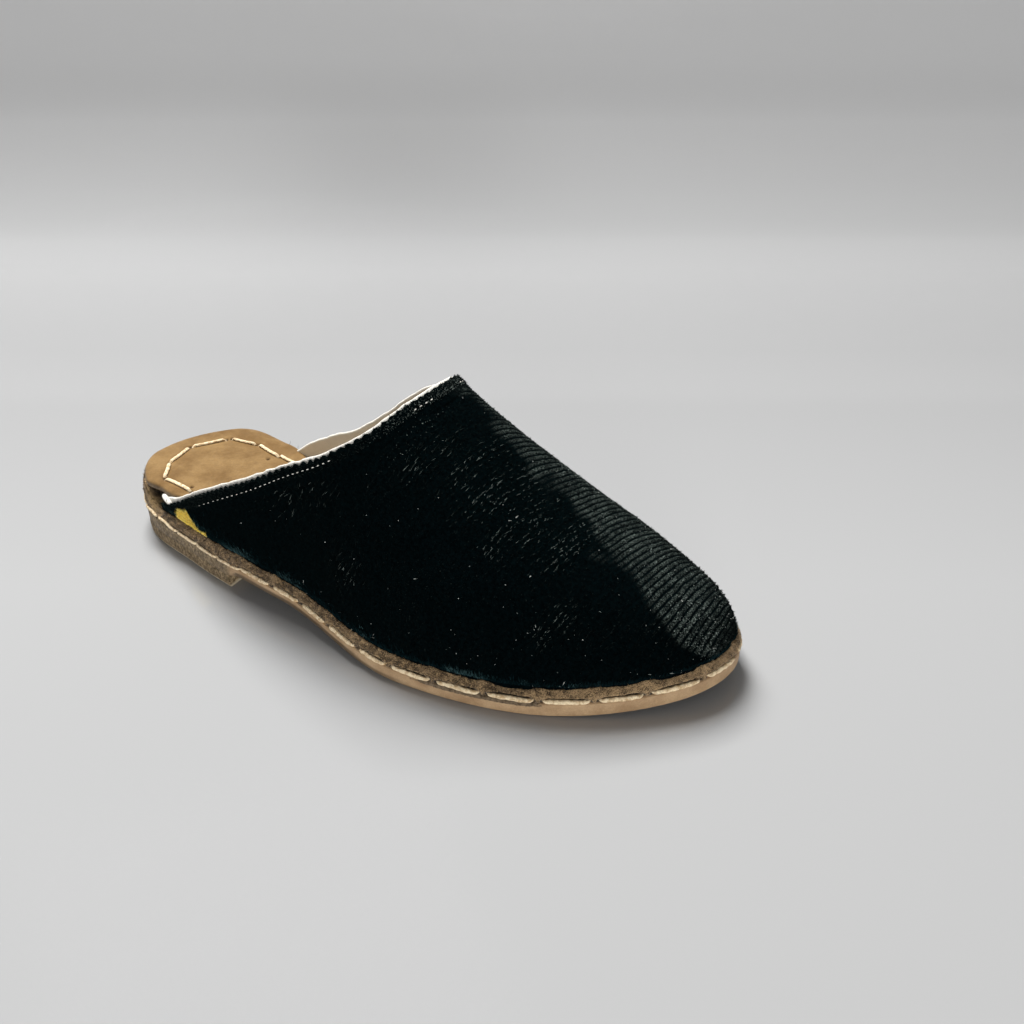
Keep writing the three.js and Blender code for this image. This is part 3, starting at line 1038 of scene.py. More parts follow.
def rand_piece():
    distance = np.linspace(0, EDGE_LENGTH, 1900, endpoint=False)
    x = outline(round_at(distance))[:, 0]
    top = rand_height(distance)
    edge = lerp(HEEL_RAND_SLOPE, RAND_SLOPE, rand_fall(x))
    loops = [on_welt(distance, 1.6, -0.25)]
    loops += [rand_surface(distance, share) for share in RAND_SHARES]
    for inset, fall in ((0.35, -0.12), (0.9, 0.1), (1.7, 0.5)):
        loops.append(on_welt(distance, edge + inset, top - fall))
    loops.append(on_welt(distance, WALL_INSIDE + 0.8, np.minimum(top - 0.5, RAND_HEIGHT)))
    points, faces = closed_stack(loops, 2)
    masks = rand_masks(distance, x, top, len(points))
    return make_piece("rand", points, faces, rand_suede, attributes=masks)


def rand_fibres(count=15000):
    """Short suede fibres over the rand, longest along its top edge."""
    rng = np.random.default_rng(SEED + 1)
    distance = rng.uniform(0, EDGE_LENGTH, count)
    share = np.clip(rng.uniform(0.1, 1.25, count), 0, 1.0)
    roots = rand_surface(distance, share)
    out = -np.concatenate([inward(round_at(distance)), np.zeros((count, 1))], 1)
    lean = rng.normal(scale=0.5, size=(count, 3)) + out * 0.6 + np.array([0, 0, 0.35])
    length = rng.uniform(0.25, 0.65, count) * (1 + 0.8 * (share > 0.98))
    tips = roots + unit(lean) * length[:, None]
    tone = rng.uniform(0, 1, count) ** lerp(1.8, 1.0, smoothstep(roots[:, 0], 180, 225))
    widths = rng.uniform(0.1, 0.2, count)
    return spikes("rand_fibres", roots - out * 0.1, tips, widths, fibres["suede_fibre"], tone, 1)


# Threads. The heel's seam wanders, by distance from the back of the heel and height on the rand.
HEEL_SEAM = (
    (0, 0.6),
    (27.8, 1.03),
    (33.5, 1.57),
    (39.5, 1.35),
    (44.3, 1.53),
    (47.3, 0.25),
    (51.8, -0.15),
    (64, 0.0),
    (79.4, -0.34),
    (82.7, 0.03),
    (91, 0.3),
)


def seam_height(distance):
    places, heights = zip(*HEEL_SEAM)
    return np.interp(np.minimum(distance % EDGE_LENGTH, -distance % EDGE_LENGTH), places, heights)


def welt_stitch_path(start, end, thin):
    along = np.linspace(start - 1.1, end + 1.1, 44)
    dive = 1 - between(along, (start - 1.1, start + 0.9), (end - 0.9, end + 1.1))
    wobble = along_noise(along, 0, 5.0, 21)
    drift = along_noise(along, 0, 3.0, 22)
    if thin:
        inset = 0.1 * drift + 1.1 * dive - 0.15
        height = seam_height(along) + 0.15 * wobble
    else:
        late = smoothstep(along, start, end)
        inset = 0.4 + 0.12 * drift + 2.0 * dive**1.5
        height = 0.62 - 0.35 * late + 0.16 * wobble + 0.2 * dive * (1 - late)
    return on_welt(along, inset, height)


def welt_thread():
    """Cream stitches along the foot of the rand: thick from the waist to the toe, thin at the heel."""
    parts = []
    for start, end in zip(THICK_STARTS, THICK_ENDS):
        path = welt_stitch_path(start, end, False)
        share = np.linspace(-1, 1, len(path))
        uneven = 1 + 0.07 * along_noise(np.linspace(start, end, len(path)), 0, 3.5, 23)
        radius = THREAD * uneven * (1 - 0.5 * np.abs(share) ** 3.5)
        parts.append(tube(path, radius, 12, 0.92, ply=0.08, twist=1.1))
    for start, following in zip(THIN_STARTS[:-1], THIN_STARTS[1:]):
        path = welt_stitch_path(start, following - HEEL_STITCH_GAP, True)
        parts.append(tube(path, HEEL_THREAD, 10, 0.9, ply=0.1, twist=2.0))
    points, faces = join_parts(parts)
    return make_piece("welt_thread", points, faces, waxed_thread)


# Stitches on the insole, each from one hole to the next, as the photo shows them
INSOLE_STITCHES = np.array([
    ((37.0, -18.1), (22.5, -16.3)),
    ((20.3, -14.9), (14.5, -7.0)),
    ((13.7, -5.2), (11.7, 6.6)),
    ((12.2, 8.8), (19.4, 19.8)),
    ((22.1, 22.0), (32.7, 23.3)),
    ((35.4, 23.7), (48.2, 20.3)),
    ((49.3, 20.9), (57.4, 19.3)),
])
AWL_DOTS = np.array([(35.6, -15.5), (46.1, 16.5)])
INSOLE_THREAD = 0.78


def near_segments(flat, segments):
    """Distance from points on the insole to the nearest of its stitches."""
    start, end = segments[:, 0], segments[:, 1]
    run = end - start
    offset = flat[:, None] - start[None]
    share = np.clip((offset * run).sum(-1) / (run * run).sum(-1), 0, 1)
    return np.linalg.norm(offset - share[..., None] * run, axis=-1).min(-1)


def near_points(flat, places):
    return np.linalg.norm(flat[:, None] - places[None], axis=-1).min(-1)


# The insole's side from the bottom up: how far inside its margin, and how far above which face
INSOLE_LEVELS = (
    (0.8, insole_underside, 0),
    (0.2, insole_underside, 0.3),
    (0.02, insole_underside, 0.9),
    (0, insole_underside, 1.6),
    (0.08, insole_top, -0.95),
    (0.35, insole_top, -0.5),
    (0.85, insole_top, -0.18),
    (1.6, insole_top, -0.03),
    (2.6, insole_top, 0),
)


def insole_piece():
    rounds = loop_rounds()
    x = outline(rounds)[:, 0]
    lateral = rounds <= 1
    far = WALL_INSIDE + 1.2
    margin = np.where(
        lateral,
        lerp(INSOLE_MARGIN - 0.3, 4.4, smoothstep(x, 13.5, 24)) + (far - 4.4) * smoothstep(x, 28, 42),
        lerp(INSOLE_MARGIN - 0.2, far, smoothstep(x, 45, 66)),
    )
    loops = []
    for inset, face, rise in INSOLE_LEVELS:
        loops.append(sole_points(rounds, margin + inset, lambda at: face(at) + rise))
    points, faces = closed_stack(loops, 92)
    upward = points[:, 2] > insole_top(points[:, 0]) - 0.05
    holes = np.concatenate([hole_places(), AWL_DOTS])
    groove = 0.3 * hump(near_segments(points[:, :2], INSOLE_STITCHES), 0, 1.1)
    hole = hump(near_points(points[:, :2], holes), 0, 0.85)
    points[:, 2] -= (groove + 0.6 * hole) * upward
    points[:, 2] += 0.1 * hash_noise(points / 9.0, 31) * upward
    edge = smoothstep(insole_top(points[:, 0]) - points[:, 2], 0.3, 1.3) * (1 - upward)
    # hole also sets the painted shade in the awl holes
    masks = {"edge": edge, "hole": np.clip(1.8 * hole - 0.35, 0, 1) * upward}
    return make_piece("insole_leather_sheet", points, faces, insole_leather, attributes=masks)


def hole_places():
    """The thread's holes, just beyond both ends of each insole stitch."""
    run = unit(INSOLE_STITCHES[:, 1] - INSOLE_STITCHES[:, 0])
    return np.concatenate([INSOLE_STITCHES[:, 0] - run * 0.7, INSOLE_STITCHES[:, 1] + run * 0.7])


def insole_thread():
    """Cream stitches that hold the insole, each sunk a little into the leather."""
    parts = []
    for start, end in INSOLE_STITCHES:
        run = unit(end - start)
        share = np.linspace(0, 1, 30)[:, None]
        flat = lerp(start - run * 0.5, end + run * 0.5, share)
        bow = np.array([-run[1], run[0]]) * 0.35 * np.sin(np.pi * share)
        flat = flat - bow
        dive = 1 - between(share[:, 0], (0, 0.1), (0.9, 1))
        height = insole_top(flat[:, 0]) + 0.3 - 1.1 * dive
        parts.append(tube(np.column_stack([flat, height]), INSOLE_THREAD, 12, 0.62, ply=0.06, twist=1.1))
    points, faces = join_parts(parts)
    return make_piece("insole_thread", points, faces, waxed_thread)


# Upper
def girth_places(count):
    """Girths spread evenly along the upper's arc at the instep."""
    dense = np.linspace(-1, 1, 4001)
    along = run_length(upper_face(dense, turn_at(0.55)))
    return np.interp(np.linspace(0, along[-1], count), along, dense)


def top_edge_girths(spacing):
    """Girths spread evenly along the upper's top edge, and the distance of each along it."""
    dense = np.linspace(-1, 1, 4001)
    along = run_length(upper_face(dense, topline_turn(dense)))
    even = np.arange(0, along[-1], spacing)
    return np.interp(even, along, dense), even


def rib_turns(girths, starts, places, beyond=False):
    """For each girth, the turns where the given ribs lie, held within the upper or nan beyond it."""
    dense = lerp(starts[:, None], LAST_TURN, np.linspace(0, 1, 500)[None])
    found = np.maximum.accumulate(rib_place(upper_face(girths[:, None], dense)), axis=1)
    outer = {"left": np.nan, "right": np.nan} if beyond else {}
    return np.stack([np.interp(places, row, run, **outer) for row, run in zip(found, dense)])


def pile_depth(girths, turns, places):
    """How high the ribs stand, in millimetres: full in the band of painted light over the crest and the toe,
    low in brushed patches.
    """
    face = upper_face(girths, turns)
    brushed = smoothstep(hash_noise(face / 11.0, 41), -0.5, 0.35)
    rib = 2 * np.abs(np.cos(np.pi * places / RIB_PITCH)) ** 0.6 - 1
    lit = lit_share(girths, turns)
    uneven = 0.12 * hash_noise(face / 3.0, 42) + 0.3 * hash_noise(face / 17.0, 43)
    return lerp(0.04 + 0.05 * brushed, 0.3, lit) * rib + uneven


def velvet_piece(rows=236, samples=5):
    girths = girth_places(rows)
    starts = turns_inside(girths, velvet_start(girths)[:, None] + 0.8)[:, 0]
    ends = rib_place(upper_face(girths, starts))
    places = np.arange(np.floor(ends.min()), CREST_RUN[-1], RIB_PITCH / samples)
    turns = rib_turns(girths, starts, places)
    column = girths[:, None] + 0 * turns
    face = upper_face(column, turns)
    normal = upper_normal(column, turns)
    depth = pile_depth(column, turns, rib_place(face))
    points = (face + normal * (0.15 + depth)[..., None]).reshape(-1, 3)
    used, faces = drop_flat(points, grid_faces(rows, len(places)))
    ridge = smoothstep(np.abs(np.cos(np.pi * rib_place(face) / RIB_PITCH)), 0.4, 0.85).reshape(-1)
    # lit carries the painted light on the ribs over the crest and the toe
    masks = {"lit": lit_share(column, turns).reshape(-1)[used], "ridge": ridge[used]}
    faces = turned_over(faces[:, ::-1])
    return make_piece("velvet_upper", points[used], faces, velvet, attributes=masks)


def velvet_hem():
    """The velvet's lower edge, tucked down behind the rand all round."""
    turns = np.linspace(0.2, LAST_TURN, 500)
    parts = []
    for sign in (-1, 1):
        girths = sign * (1 - np.array([0.05, 0.02, 0.0]))
        rows = [upper_face(g, turns) + upper_normal(g, turns) * 0.2 for g in girths]
        keep = turns > topline_turn(np.array([sign * 1.0]))[0]
        distance = distance_at(turns if sign < 0 else 2 - turns)
        top = rand_height(distance)
        rows.append(on_welt(distance, WALL_OUTSIDE - 0.35, top + 0.25))
        rows.append(on_welt(distance, WALL_OUTSIDE + 0.3, top - 0.8))
        points = np.stack([row[keep] for row in rows]).reshape(-1, 3)
        faces = grid_faces(len(rows), int(keep.sum()))
        parts.append((points, turned_over(faces if sign < 0 else faces[:, ::-1])))
    points, faces = join_parts(parts)
    masks = {"lit": np.zeros(len(points)), "ridge": np.zeros(len(points))}
    return make_piece("velvet_hem", points, faces, velvet, attributes=masks)


TOOTH_PITCH = 3.2
TOOTH_HEIGHT = 1.25


def tooth(along, girths):
    """How far the pinked edge reaches out, at a distance along the top edge."""
    uneven = along + 0.9 * along_noise(along, 0, 7.0, 51)
    share = 0.5 + 0.5 * np.cos(2 * np.pi * uneven / TOOTH_PITCH)
    calm = smoothstep(1 - np.abs(girths), 0.5, 0.85)
    size = TOOTH_HEIGHT * (0.75 + 0.35 * along_noise(along, 0, 9.0, 55)) * (1 - 0.55 * calm)
    return size * (share**0.8 - 0.5) + 0.16 * along_noise(along, 0, 0.8, 52)


# Section of the border's strip, over its outer face and back under it: distance in, and height
BORDER_WIDTHS = np.array([0, 0.25, 0.7, 1.3, 2.1, 3.2, 4.6, 6.2, 8, 6, 1.5, 0.4])
BORDER_LIFTS = np.array([0, 0.42, 0.6, 0.62, 0.55, 0.5, 0.42, 0.3, -0.1, -0.5, -0.45, -0.35])


def velvet_border():
    """The velvet's pinked top edge: a thick zigzag strip with its underside."""
    girths, along = top_edge_girths(0.28)
    widths, lifts = BORDER_WIDTHS, BORDER_LIFTS
    reach = velvet_start(girths) - tooth(along, girths)
    column, turns = step_inside(girths, reach[:, None] + widths[None])
    face = upper_face(column, turns)
    fuzz = 0.13 * hash_noise(face / 0.6, 53) + 0.12 * hash_noise(face / 1.8, 54)
    points = face + upper_normal(column, turns) * (lifts[None] + fuzz * (lifts[None] > 0.1))[..., None]
    faces = grid_faces(len(girths), len(widths), wrap_columns=True)
    # The pinked edge takes half the painted light of the band over the crest
    masks = {"lit": 0.5 * lit_share(column, turns).reshape(-1), "ridge": np.full(points[..., 0].size, 0.3)}
    return make_piece("velvet_border", points.reshape(-1, 3), faces, velvet, attributes=masks)


def pile_spikes(name, rows, spread, seed, share_kept=1.0):
    """Tufts of pile along every rib, as short spikes that stand up from it."""
    rng = np.random.default_rng(SEED + seed)
    girths = girth_places(rows)
    starts = turns_inside(girths, velvet_start(girths)[:, None] + 0.6)[:, 0]
    first = rib_place(upper_face(girths, starts)).min()
    ribs = np.arange(np.ceil(first / RIB_PITCH), np.floor(CREST_RUN[-1] / RIB_PITCH)) * RIB_PITCH
    jitter = rng.normal(scale=spread, size=(rows, len(ribs)))
    turns = rib_turns(girths, starts, ribs, beyond=True)
    column = girths[:, None] + rng.uniform(-0.5, 0.5, turns.shape) * np.gradient(girths)[:, None]
    column = np.clip(column, -0.999, 0.999)
    keep = np.isfinite(turns) & (rng.uniform(size=turns.shape) < share_kept)
    girth, turn, shift = column[keep], turns[keep], jitter[keep]
    forward = unit(upper_face(girth, turn + 1e-3) - upper_face(girth, turn))
    face = upper_face(girth, turn) + forward * shift[:, None]
    normal = upper_normal(girth, turn)
    place = rib_place(face)
    depth = pile_depth(girth, turn, place)
    lit = lit_share(girth, turn)
    clumps = hash_noise(face / 6.0, 61)
    patches = smoothstep(hash_noise(face / 11.0, 41), -0.5, 0.35)
    lean = normal + 0.35 * rng.normal(size=normal.shape) + 0.3 * np.array([0.5, 0, -0.4])
    length = rng.uniform(0.3, 0.62, len(face)) + 0.5 * (rng.uniform(size=len(face)) < 0.06)
    roots = face + normal * (depth - 0.05)[:, None]
    tips = roots + unit(lean) * length[:, None]
    # Painted light: tufts in the band over the crest and the toe get lighter tones
    glow = lit * lerp(0.5, 0.95, patches) * (0.85 + 0.4 * clumps)
    faint = 0.16 * smoothstep(hash_noise(face / 14.0, 62), 0.1, 0.6) + 0.05
    scatter = 0.08 + 1.5 * rng.uniform(0, 1, len(face)) ** 1.8
    # Painted specks of light on the tufts at the peak
    speck = peak_share(girth, turn) * rng.uniform(0, 1, len(face)) ** 2.2
    speck = np.maximum(speck, 0.45 * rng.uniform(0, 1, len(face)) ** 12)
    tone = np.clip(np.maximum(np.maximum(glow, faint) * scatter, speck), 0, 1)
    return spikes(name, roots, tips, rng.uniform(0.35, 0.75, len(face)), fibres["velvet_pile"], tone, seed)


# Places on the lateral side, by length and height, where brushed pile carries painted streaks of glinting
# light
STREAK_PLACES = (
    (93, 50, 9),
    (102, 48, 9),
    (111, 57, 8),
    (118, 57, 7),
    (131, 33, 8),
    (147, 67, 5),
    (151, 69, 5),
    (162, 65.5, 6),
    (168, 59.5, 6),
    (174, 58.5, 6),
    (177, 58, 5),
    (179, 51.5, 6),
    (185, 52, 6),
    (196, 47, 6),
    (200, 28.5, 4.5),
    (204, 32.5, 4.5),
)


def pile_streaks(count=14000):
    """Short fibres brushed flat along the ribs, in patches, with painted glints of light in their tones."""
    rng = np.random.default_rng(SEED + 12)
    girth = rng.uniform(-0.93, 0.93, 120000)
    first = turns_inside(np.linspace(-1, 1, 201), np.full((201, 1), 7.5))[:, 0]
    turn = rng.uniform(np.interp(girth, np.linspace(-1, 1, 201), first), 0.93)
    face = upper_face(girth, turn)
    middle = np.array([[x, z] for x, z, _ in STREAK_PLACES])
    size = np.array([r for _, _, r in STREAK_PLACES])
    away = np.linalg.norm(face[:, None, [0, 2]] - middle[None], axis=-1) / size
    patch = hump(away.min(-1), 0, 1) * (girth < 0)
    other = smoothstep(hash_noise(face / 9.0, 95), 0.3, 0.8) * 0.3
    chance = np.clip(np.maximum(patch, other), 0.03, 1) * 0.8
    crest = np.cos(2 * np.pi * rib_place(face) / RIB_PITCH) > 0.1
    keep = np.flatnonzero(crest & (rng.uniform(size=len(face)) < chance))[:count]
    girth, turn, face, strong = girth[keep], turn[keep], face[keep], chance[keep]
    normal = upper_normal(girth, turn)
    ahead = upper_face(girth, turn + 2e-3) - face
    across = upper_face(girth + 4e-3, turn) - face
    rate_ahead = rib_place(face + ahead) - rib_place(face)
    rate_across = rib_place(face + across) - rib_place(face)
    way = unit(across * rate_ahead[:, None] - ahead * rate_across[:, None])
    way = unit(way + 0.2 * rng.normal(size=way.shape) + 0.1 * normal)
    length = rng.uniform(0.5, 2.4, len(face)) * lerp(1.25, 0.6, smoothstep(turn, 0.5, 0.66))
    roots = face + normal * 0.45
    tips = roots + way * length[:, None]
    # The streaks' bright tones are painted glints of light on the black pile
    tone = rng.uniform(0, 1, len(face)) ** 2.2 * (0.35 + 0.95 * strong)
    tone = np.clip(tone * lerp(0.9, 1, smoothstep(turn, 0.48, 0.58)), 0, 1)
    widths = rng.uniform(0.1, 0.2, len(face))
    return spikes("pile_streaks", roots, tips, widths, fibres["velvet_pile"], tone, 7)


def hem_fibres(count=13000):
    """Upright teal fibres along the velvet's lower edge."""
    rng = np.random.default_rng(SEED + 7)
    side = rng.uniform(size=count) < 0.5
    low = topline_turn(np.array([-1.0, 1.0]))
    turn = rng.uniform(np.where(side, low[0], low[1]), LAST_TURN - 0.01)
    climb = np.abs(rng.normal(scale=0.045, size=count))
    girth = np.where(side, -1, 1) * (1 - climb)
    roots = upper_face(girth, turn) + upper_normal(girth, turn) * 0.15
    step = np.where(side, 1, -1) * 0.02
    upward = unit(upper_face(girth + step, turn) - upper_face(girth, turn))
    lean = upward + 0.32 * upper_normal(girth, turn) + 0.16 * rng.normal(size=roots.shape)
    tips = roots + unit(lean) * rng.uniform(0.9, 2.8, count)[:, None]
    clumps = smoothstep(hash_noise(roots / 7.0, 71), -0.2, 0.6)
    tone = np.clip(rng.uniform(0, 1.1, count) * lerp(0.4, 1.2, clumps), 0, 1)
    return spikes("hem_fibres", roots, tips, rng.uniform(0.12, 0.24, count), fibres["edge_pile"], tone, 2)


def border_fibres(count=7000):
    """Frayed fibres on the pinked edge."""
    rng = np.random.default_rng(SEED + 8)
    girths, along = top_edge_girths(0.05)
    pick = rng.integers(0, len(girths), count)
    girth = girths[pick]
    depth = rng.uniform(0, 3.2, count) ** 1.2
    reach = velvet_start(girth) - tooth(along[pick], girth) + depth
    girth, turn = (part[:, 0] for part in step_inside(girth, reach[:, None]))
    normal = upper_normal(girth, turn)
    roots = upper_face(girth, turn) + normal * 0.45
    backward = unit(upper_face(girth, turn - 2e-3) - upper_face(girth, turn))
    lean = normal + 0.5 * backward * (depth < 0.7)[:, None] + 0.45 * rng.normal(size=normal.shape)
    tips = roots + unit(lean) * rng.uniform(0.35, 0.95, count)[:, None]
    # Painted light: frayed fibres are lighter in the band over the crest and at the peak
    bright = 1 + 0.7 * lit_share(girth, turn) + 1.2 * peak_share(girth, turn)
    tone = np.clip(rng.uniform(0, 0.5, count) * bright, 0, 1)
    widths = rng.uniform(0.14, 0.3, count)
    return spikes("border_fibres", roots, tips, widths, fibres["velvet_pile"], tone, 3)


def machine_stitches():
    """A row of short pale stitches below the pinked edge, sunk out of sight in the pile in places."""
    dense = np.linspace(-0.8, 0.8, 1200)
    reach = np.interp(1 - np.abs(dense), (0.25, 0.4, 0.58, 0.88), (5.4, 4.5, 3.5, 4.2))
    places = (part[:, 0] for part in step_inside(dense, reach[:, None]))
    girths, turns = (np.convolve(np.pad(part, 20, "edge"), np.full(41, 1 / 41), "valid") for part in places)
    along = run_length(upper_face(girths, turns))
    spacing = lerp(3.8, 2.4, smoothstep(np.minimum(along, along[-1] - along), 5, 65))
    passed = np.concatenate([[0], np.cumsum(np.diff(along) / spacing[1:])])
    even = np.interp(np.arange(passed[-1]), passed, along)
    climb = 1 - np.abs(np.interp(even, along, dense))
    girths, turns = np.interp(even, along, girths), np.interp(even, along, turns)
    centre = upper_face(girths, turns)
    normal = upper_normal(girths, turns)
    run = unit(np.gradient(centre, axis=0))
    hidden = ((climb > 0.61) & (climb < 0.872)) | (climb > 0.94) | (climb < 0.24)
    hidden = hidden | (hash_noise(centre / 8.0, 81) < -0.65)
    parts = []
    for middle, out, way, skip in zip(centre, normal, run, hidden):
        if skip:
            continue
        share = np.linspace(-1, 1, 7)[:, None]
        path = middle + way * share * 0.5 + out * (0.66 - 0.3 * share**4)
        radius = 0.16 * np.sqrt(np.clip(1.05 - share[:, 0] ** 4, 0.1, 1))
        parts.append(tube(path, radius, 6, up=tuple(out)))
    points, faces = join_parts(parts)
    return make_piece("machine_stitches", points, faces, lining_leather)


def ikat_patch(count=3200):
    """A feathered yellow patch of the woven pattern at the rear lateral corner."""
    rng = np.random.default_rng(SEED + 9)
    girth = -1 + rng.uniform(0, 0.22, 60000)
    turn = rng.uniform(0.2, 0.34, 60000)
    face = upper_face(girth, turn)
    x, z = face[:, 0], face[:, 2]
    top = np.interp(x, (36.5, 38.5, 44.5, 46.5, 49.5, 53.0), (15.8, 19.6, 21.6, 19.4, 17.0, 15.9))
    top = top + 0.8 * hash_noise(np.stack([x / 0.8, x * 0, x * 0], -1), 91)
    keep = np.flatnonzero((x > 37.8) & (x < 56) & (z < top))[:count]
    girth, turn, z = girth[keep], turn[keep], z[keep]
    roots = face[keep] + upper_normal(girth, turn) * 0.3
    upward = unit(upper_face(girth + 0.02, turn) - upper_face(girth, turn))
    lean = upward + 0.4 * upper_normal(girth, turn) + 0.18 * rng.normal(size=roots.shape)
    tips = roots + unit(lean) * rng.uniform(0.8, 2.4, len(roots))[:, None]
    tone = np.clip(rng.normal(0.7, 0.4, len(roots)), 0, 1)
    widths = rng.uniform(0.16, 0.34, len(roots))
    return spikes("ikat_patch", roots, tips, widths, fibres["ikat_pile"], tone, 4)


def lint_piece(count=260):
    """Tiny pale specks of lint caught in the pile."""
    rng = np.random.default_rng(SEED + 10)
    girth = rng.uniform(-0.97, 0.97, count)
    start = turns_inside(girth, np.full((count, 1), 7.0))[:, 0]
    turn = lerp(start, 0.94, rng.uniform(size=count))
    normal = upper_normal(girth, turn)
    roots = upper_face(girth, turn) + normal * 0.45
    lean = unit(0.4 * normal + rng.normal(size=normal.shape))
    lean = lean * np.sign((lean * normal).sum(-1, keepdims=True))
    long = rng.uniform(size=count) < 0.12
    length = np.where(long, rng.uniform(0.7, 1.6, count), rng.uniform(0.25, 0.5, count))
    tips = roots + lean * length[:, None]
    tone = rng.uniform(0.1, 1, count) ** 1.6
    return spikes("lint", roots, tips, rng.uniform(0.16, 0.34, count), fibres["lint_fibre"], tone, 5)


def lining_piece(rows=300):
    """Cream lining leather, with a rounded edge that shows beyond the velvet."""
    girths = girth_places(rows)
    near = np.array([0.0, 0.12, 0.35, 0.8, 1.5, 2.4, 4.0, 7.0])
    edge_line = upper_face(girths, topline_turn(girths))
    low_end = edge_line[:, 2]
    poke = -1.7 * hump(low_end, 21.6, 1.5) * (girths < 0)
    uneven = 0.3 * along_noise(run_length(edge_line), 0, 3.0, 56)
    edge = turns_inside(girths, near[None] + ((poke + uneven)[:, None] * (near < 1)[None]))
    rest = lerp(edge[:, -1:], 0.985, np.linspace(0, 1, 46)[None, 1:])
    turns = np.concatenate([edge, rest], 1)
    column = girths[:, None] + 0 * turns
    face = upper_face(column, turns)
    normal = upper_normal(column, turns)
    fold = np.ones(turns.shape[1])
    fold[:3] = (0.0, 0.5, 0.85)
    outer = face - normal * lerp(1.5, 1.0, fold)[None, :, None]
    inner = face - normal * lerp(1.5, WALL, fold)[None, :, None]
    grid = np.concatenate([outer, inner[:, ::-1]], 1)
    faces = grid_faces(rows, grid.shape[1], wrap_columns=True)
    deep = np.zeros(grid.shape[:2])
    deep[:, outer.shape[1] : -2] = 1
    return make_piece("lining", grid.reshape(-1, 3), faces, lining_leather, attributes={"inside": deep})


def lining_tip():
    """The rounded end of the lining's folded edge, which pokes out at the rear lateral corner."""
    share = np.linspace(-1, 1, 15)
    path = lerp(np.array([27.0, -22.7, 22.0]), np.array([33.4, -24.8, 20.6]), (share[:, None] + 1) / 2)
    path[:, 2] -= 0.35 * (1 - share**2)
    radius = 1.25 * np.sqrt(np.clip(1 - np.abs(share) ** 2.6, 0.02, 1))
    points, faces = tube(path, radius, 12, 0.7)
    return make_piece("lining_tip", points, faces, lining_leather)


outsole = outsole_piece()
heel = heel_piece()
rand = rand_piece()
insole = insole_piece()
velvet_upper = velvet_piece()

for piece, node, slot in (
    (outsole, "outsole", "sole_leather"),
    (heel, "heel", "heel_leather"),
    (rand, "midsole", "rand_suede"),
    (insole, "insole", "insole_leather"),
    (velvet_upper, "upper", "velvet"),
):
    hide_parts(node)
    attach(piece, "root")

for piece, slot in (
    (velvet_hem(), "velvet"),
    (velvet_border(), "velvet"),
    (pile_spikes("pile_tufts", 250, 0.5, 5), "velvet"),
    (pile_spikes("pile_tips", 330, 0.6, 6, 0.7), "velvet"),
    (pile_streaks(), "velvet"),
    (hem_fibres(), "velvet"),
    (border_fibres(), "velvet"),
    (ikat_patch(), "velvet"),
    (lint_piece(), "velvet"),
    (machine_stitches(), "velvet"),
    (lining_piece(), "velvet"),
    (lining_tip(), "velvet"),
    (rand_fibres(), "rand_suede"),
    (welt_thread(), "rand_suede"),
    (insole_thread(), "insole_leather"),
):
    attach(piece, "root")


# Stage, lights and camera
VIEW_TURN = math.radians(30.39)
SWEEP_START = 0.345
SWEEP_RADIUS = 0.14
WALL_TOP = 0.16
STAGE_REACH = 4
FLOOR_RUNS = (-STAGE_REACH, -1, 0, 0.1, 0.22)
# The paper's tones are painted light and shade: lighter up the wall, where the key does not reach, and
# darker towards the back of the floor
FLOOR_TONE = 0.37
BACK_TONE = 0.305
WALL_HEIGHTS = (0, 0.0155, 0.035, 0.07, 0.109, 0.143)
WALL_TONES = (BACK_TONE, 0.35, 0.44, 0.62, 0.65, 0.62)


# The key light over the photo's left, and a low fill at the lateral side: place, aim, size and watts
LIGHTS = {
    "key": ((-0.95, 0.69, 1.87), (0, 0, 0), 0.95, 101),
    "fill": ((0.9, -1.2, 0.1), (0, 0, 0.03), 0.5, 20),
}

# The sky's strength falls between two heights of the direction: from, to, and the strength at each
SKY_FADE = (0.2, 0.5, 0.28, 0.17)

CAMERA_PLACE = (0.1960, -0.2556, 0.2335)
CAMERA_TILT = math.radians(57.85)
LENS = 36.9


def stage_material():
    """Glossy pale paper, in the tone that the stage's mesh carries, painted lighter where less light
    reaches.
    """
    m = Nodes("studio_paper")
    m.colour(m.grey(m.attribute("tone")))
    m.set(Roughness=0.08, Specular_IOR_Level=0.5)
    return m.material


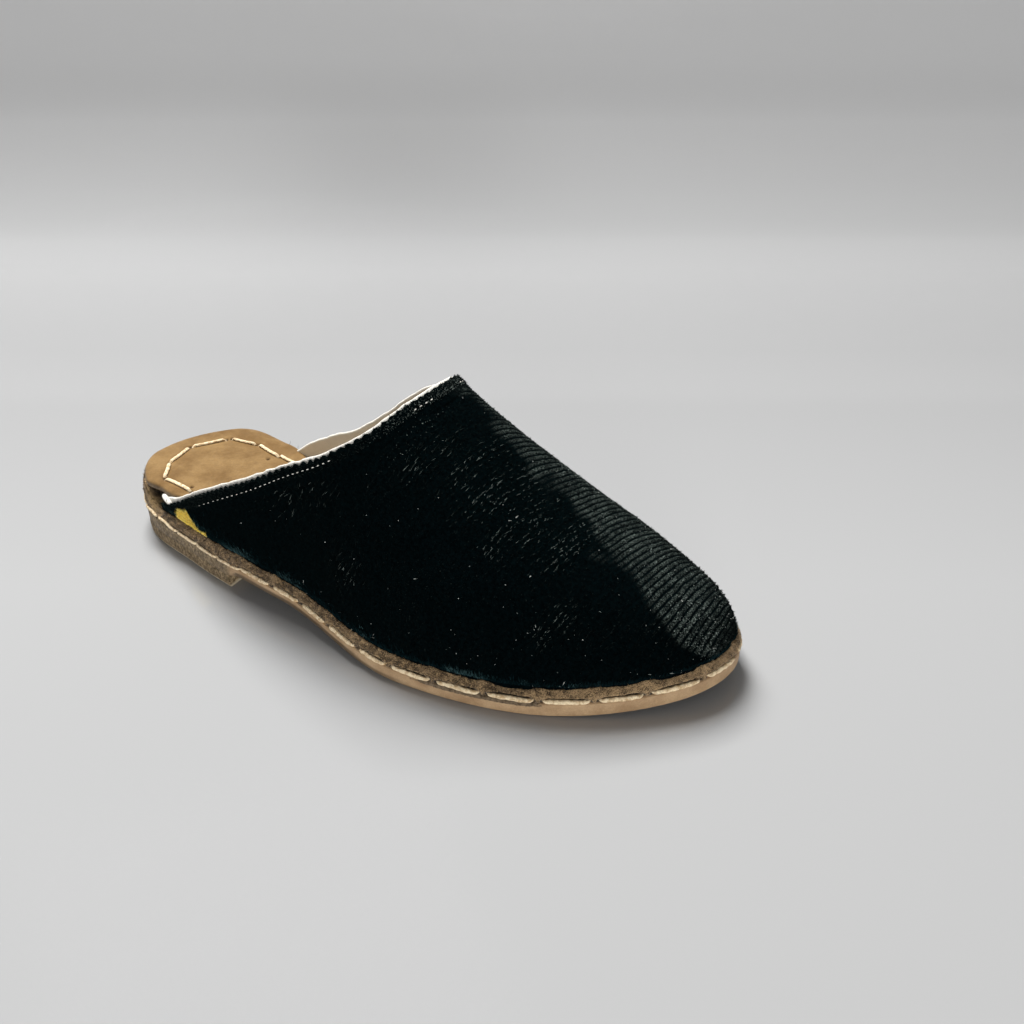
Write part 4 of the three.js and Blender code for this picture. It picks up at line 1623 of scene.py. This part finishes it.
def make_stage():
    """A floor that sweeps up into a wall behind the slipper, square to the photo's view."""
    bend = np.linspace(0, math.pi / 2, 40)
    sweep = SWEEP_START + SWEEP_RADIUS * np.sin(bend)
    run = np.concatenate([FLOOR_RUNS, sweep, [SWEEP_START + SWEEP_RADIUS]])
    rise = np.concatenate([np.zeros(len(FLOOR_RUNS)), SWEEP_RADIUS * (1 - np.cos(bend)), [WALL_TOP]])
    floor_tone = np.interp(run, (0, FLOOR_RUNS[-1]), (FLOOR_TONE, BACK_TONE))
    tone = np.where(rise > 0, np.interp(rise, WALL_HEIGHTS, WALL_TONES), floor_tone)
    back = np.array([-math.sin(VIEW_TURN), math.cos(VIEW_TURN)])
    side = np.array([back[1], -back[0]])
    rows = []
    for reach in (-STAGE_REACH, STAGE_REACH):
        flat = run[:, None] * back + reach * side
        rows.append(np.column_stack([flat, rise]) / MM + [SOLE_LENGTH / 2, 0, 0])
    points = np.concatenate(rows)
    faces = grid_faces(2, len(run))
    floor = make_piece("floor", points, faces, stage_material(), attributes={"tone": np.tile(tone, 2)})


def area_light(name, location, aim, size, power):
    data = bpy.data.lights.new(name, "AREA")
    data.size = size
    data.energy = power
    lamp = bpy.data.objects.new(name, data)
    bpy.context.scene.collection.objects.link(lamp)
    lamp.location = location
    lamp.rotation_euler = (Vector(aim) - Vector(location)).to_track_quat("-Z", "Y").to_euler()
    lamp.visible_glossy = False


def make_lights():
    world = bpy.data.worlds.new("studio")
    world.use_nodes = True
    tree = world.node_tree
    background = tree.nodes["Background"]
    background.inputs["Color"].default_value = (1, 1, 1, 1)
    direction = tree.nodes.new("ShaderNodeTexCoord")
    parts = tree.nodes.new("ShaderNodeSeparateXYZ")
    fade = tree.nodes.new("ShaderNodeMapRange")
    for key, value in zip(SPAN_ENDS, SKY_FADE):
        fade.inputs[key].default_value = value
    tree.links.new(direction.outputs["Generated"], parts.inputs[0])
    tree.links.new(parts.outputs[2], fade.inputs["Value"])
    tree.links.new(fade.outputs["Result"], background.inputs["Strength"])
    bpy.context.scene.world = world
    for name, values in LIGHTS.items():
        area_light(name, *values)


def make_camera():
    data = bpy.data.cameras.new("photo_view")
    data.sensor_width = 36.0
    data.lens = LENS
    camera = bpy.data.objects.new("photo_view", data)
    bpy.context.scene.collection.objects.link(camera)
    camera.location = CAMERA_PLACE
    camera.rotation_euler = (CAMERA_TILT, 0, VIEW_TURN)
    bpy.context.scene.camera = camera


make_stage()
make_lights()
make_camera()
bpy.context.scene.view_settings.view_transform = "Standard"
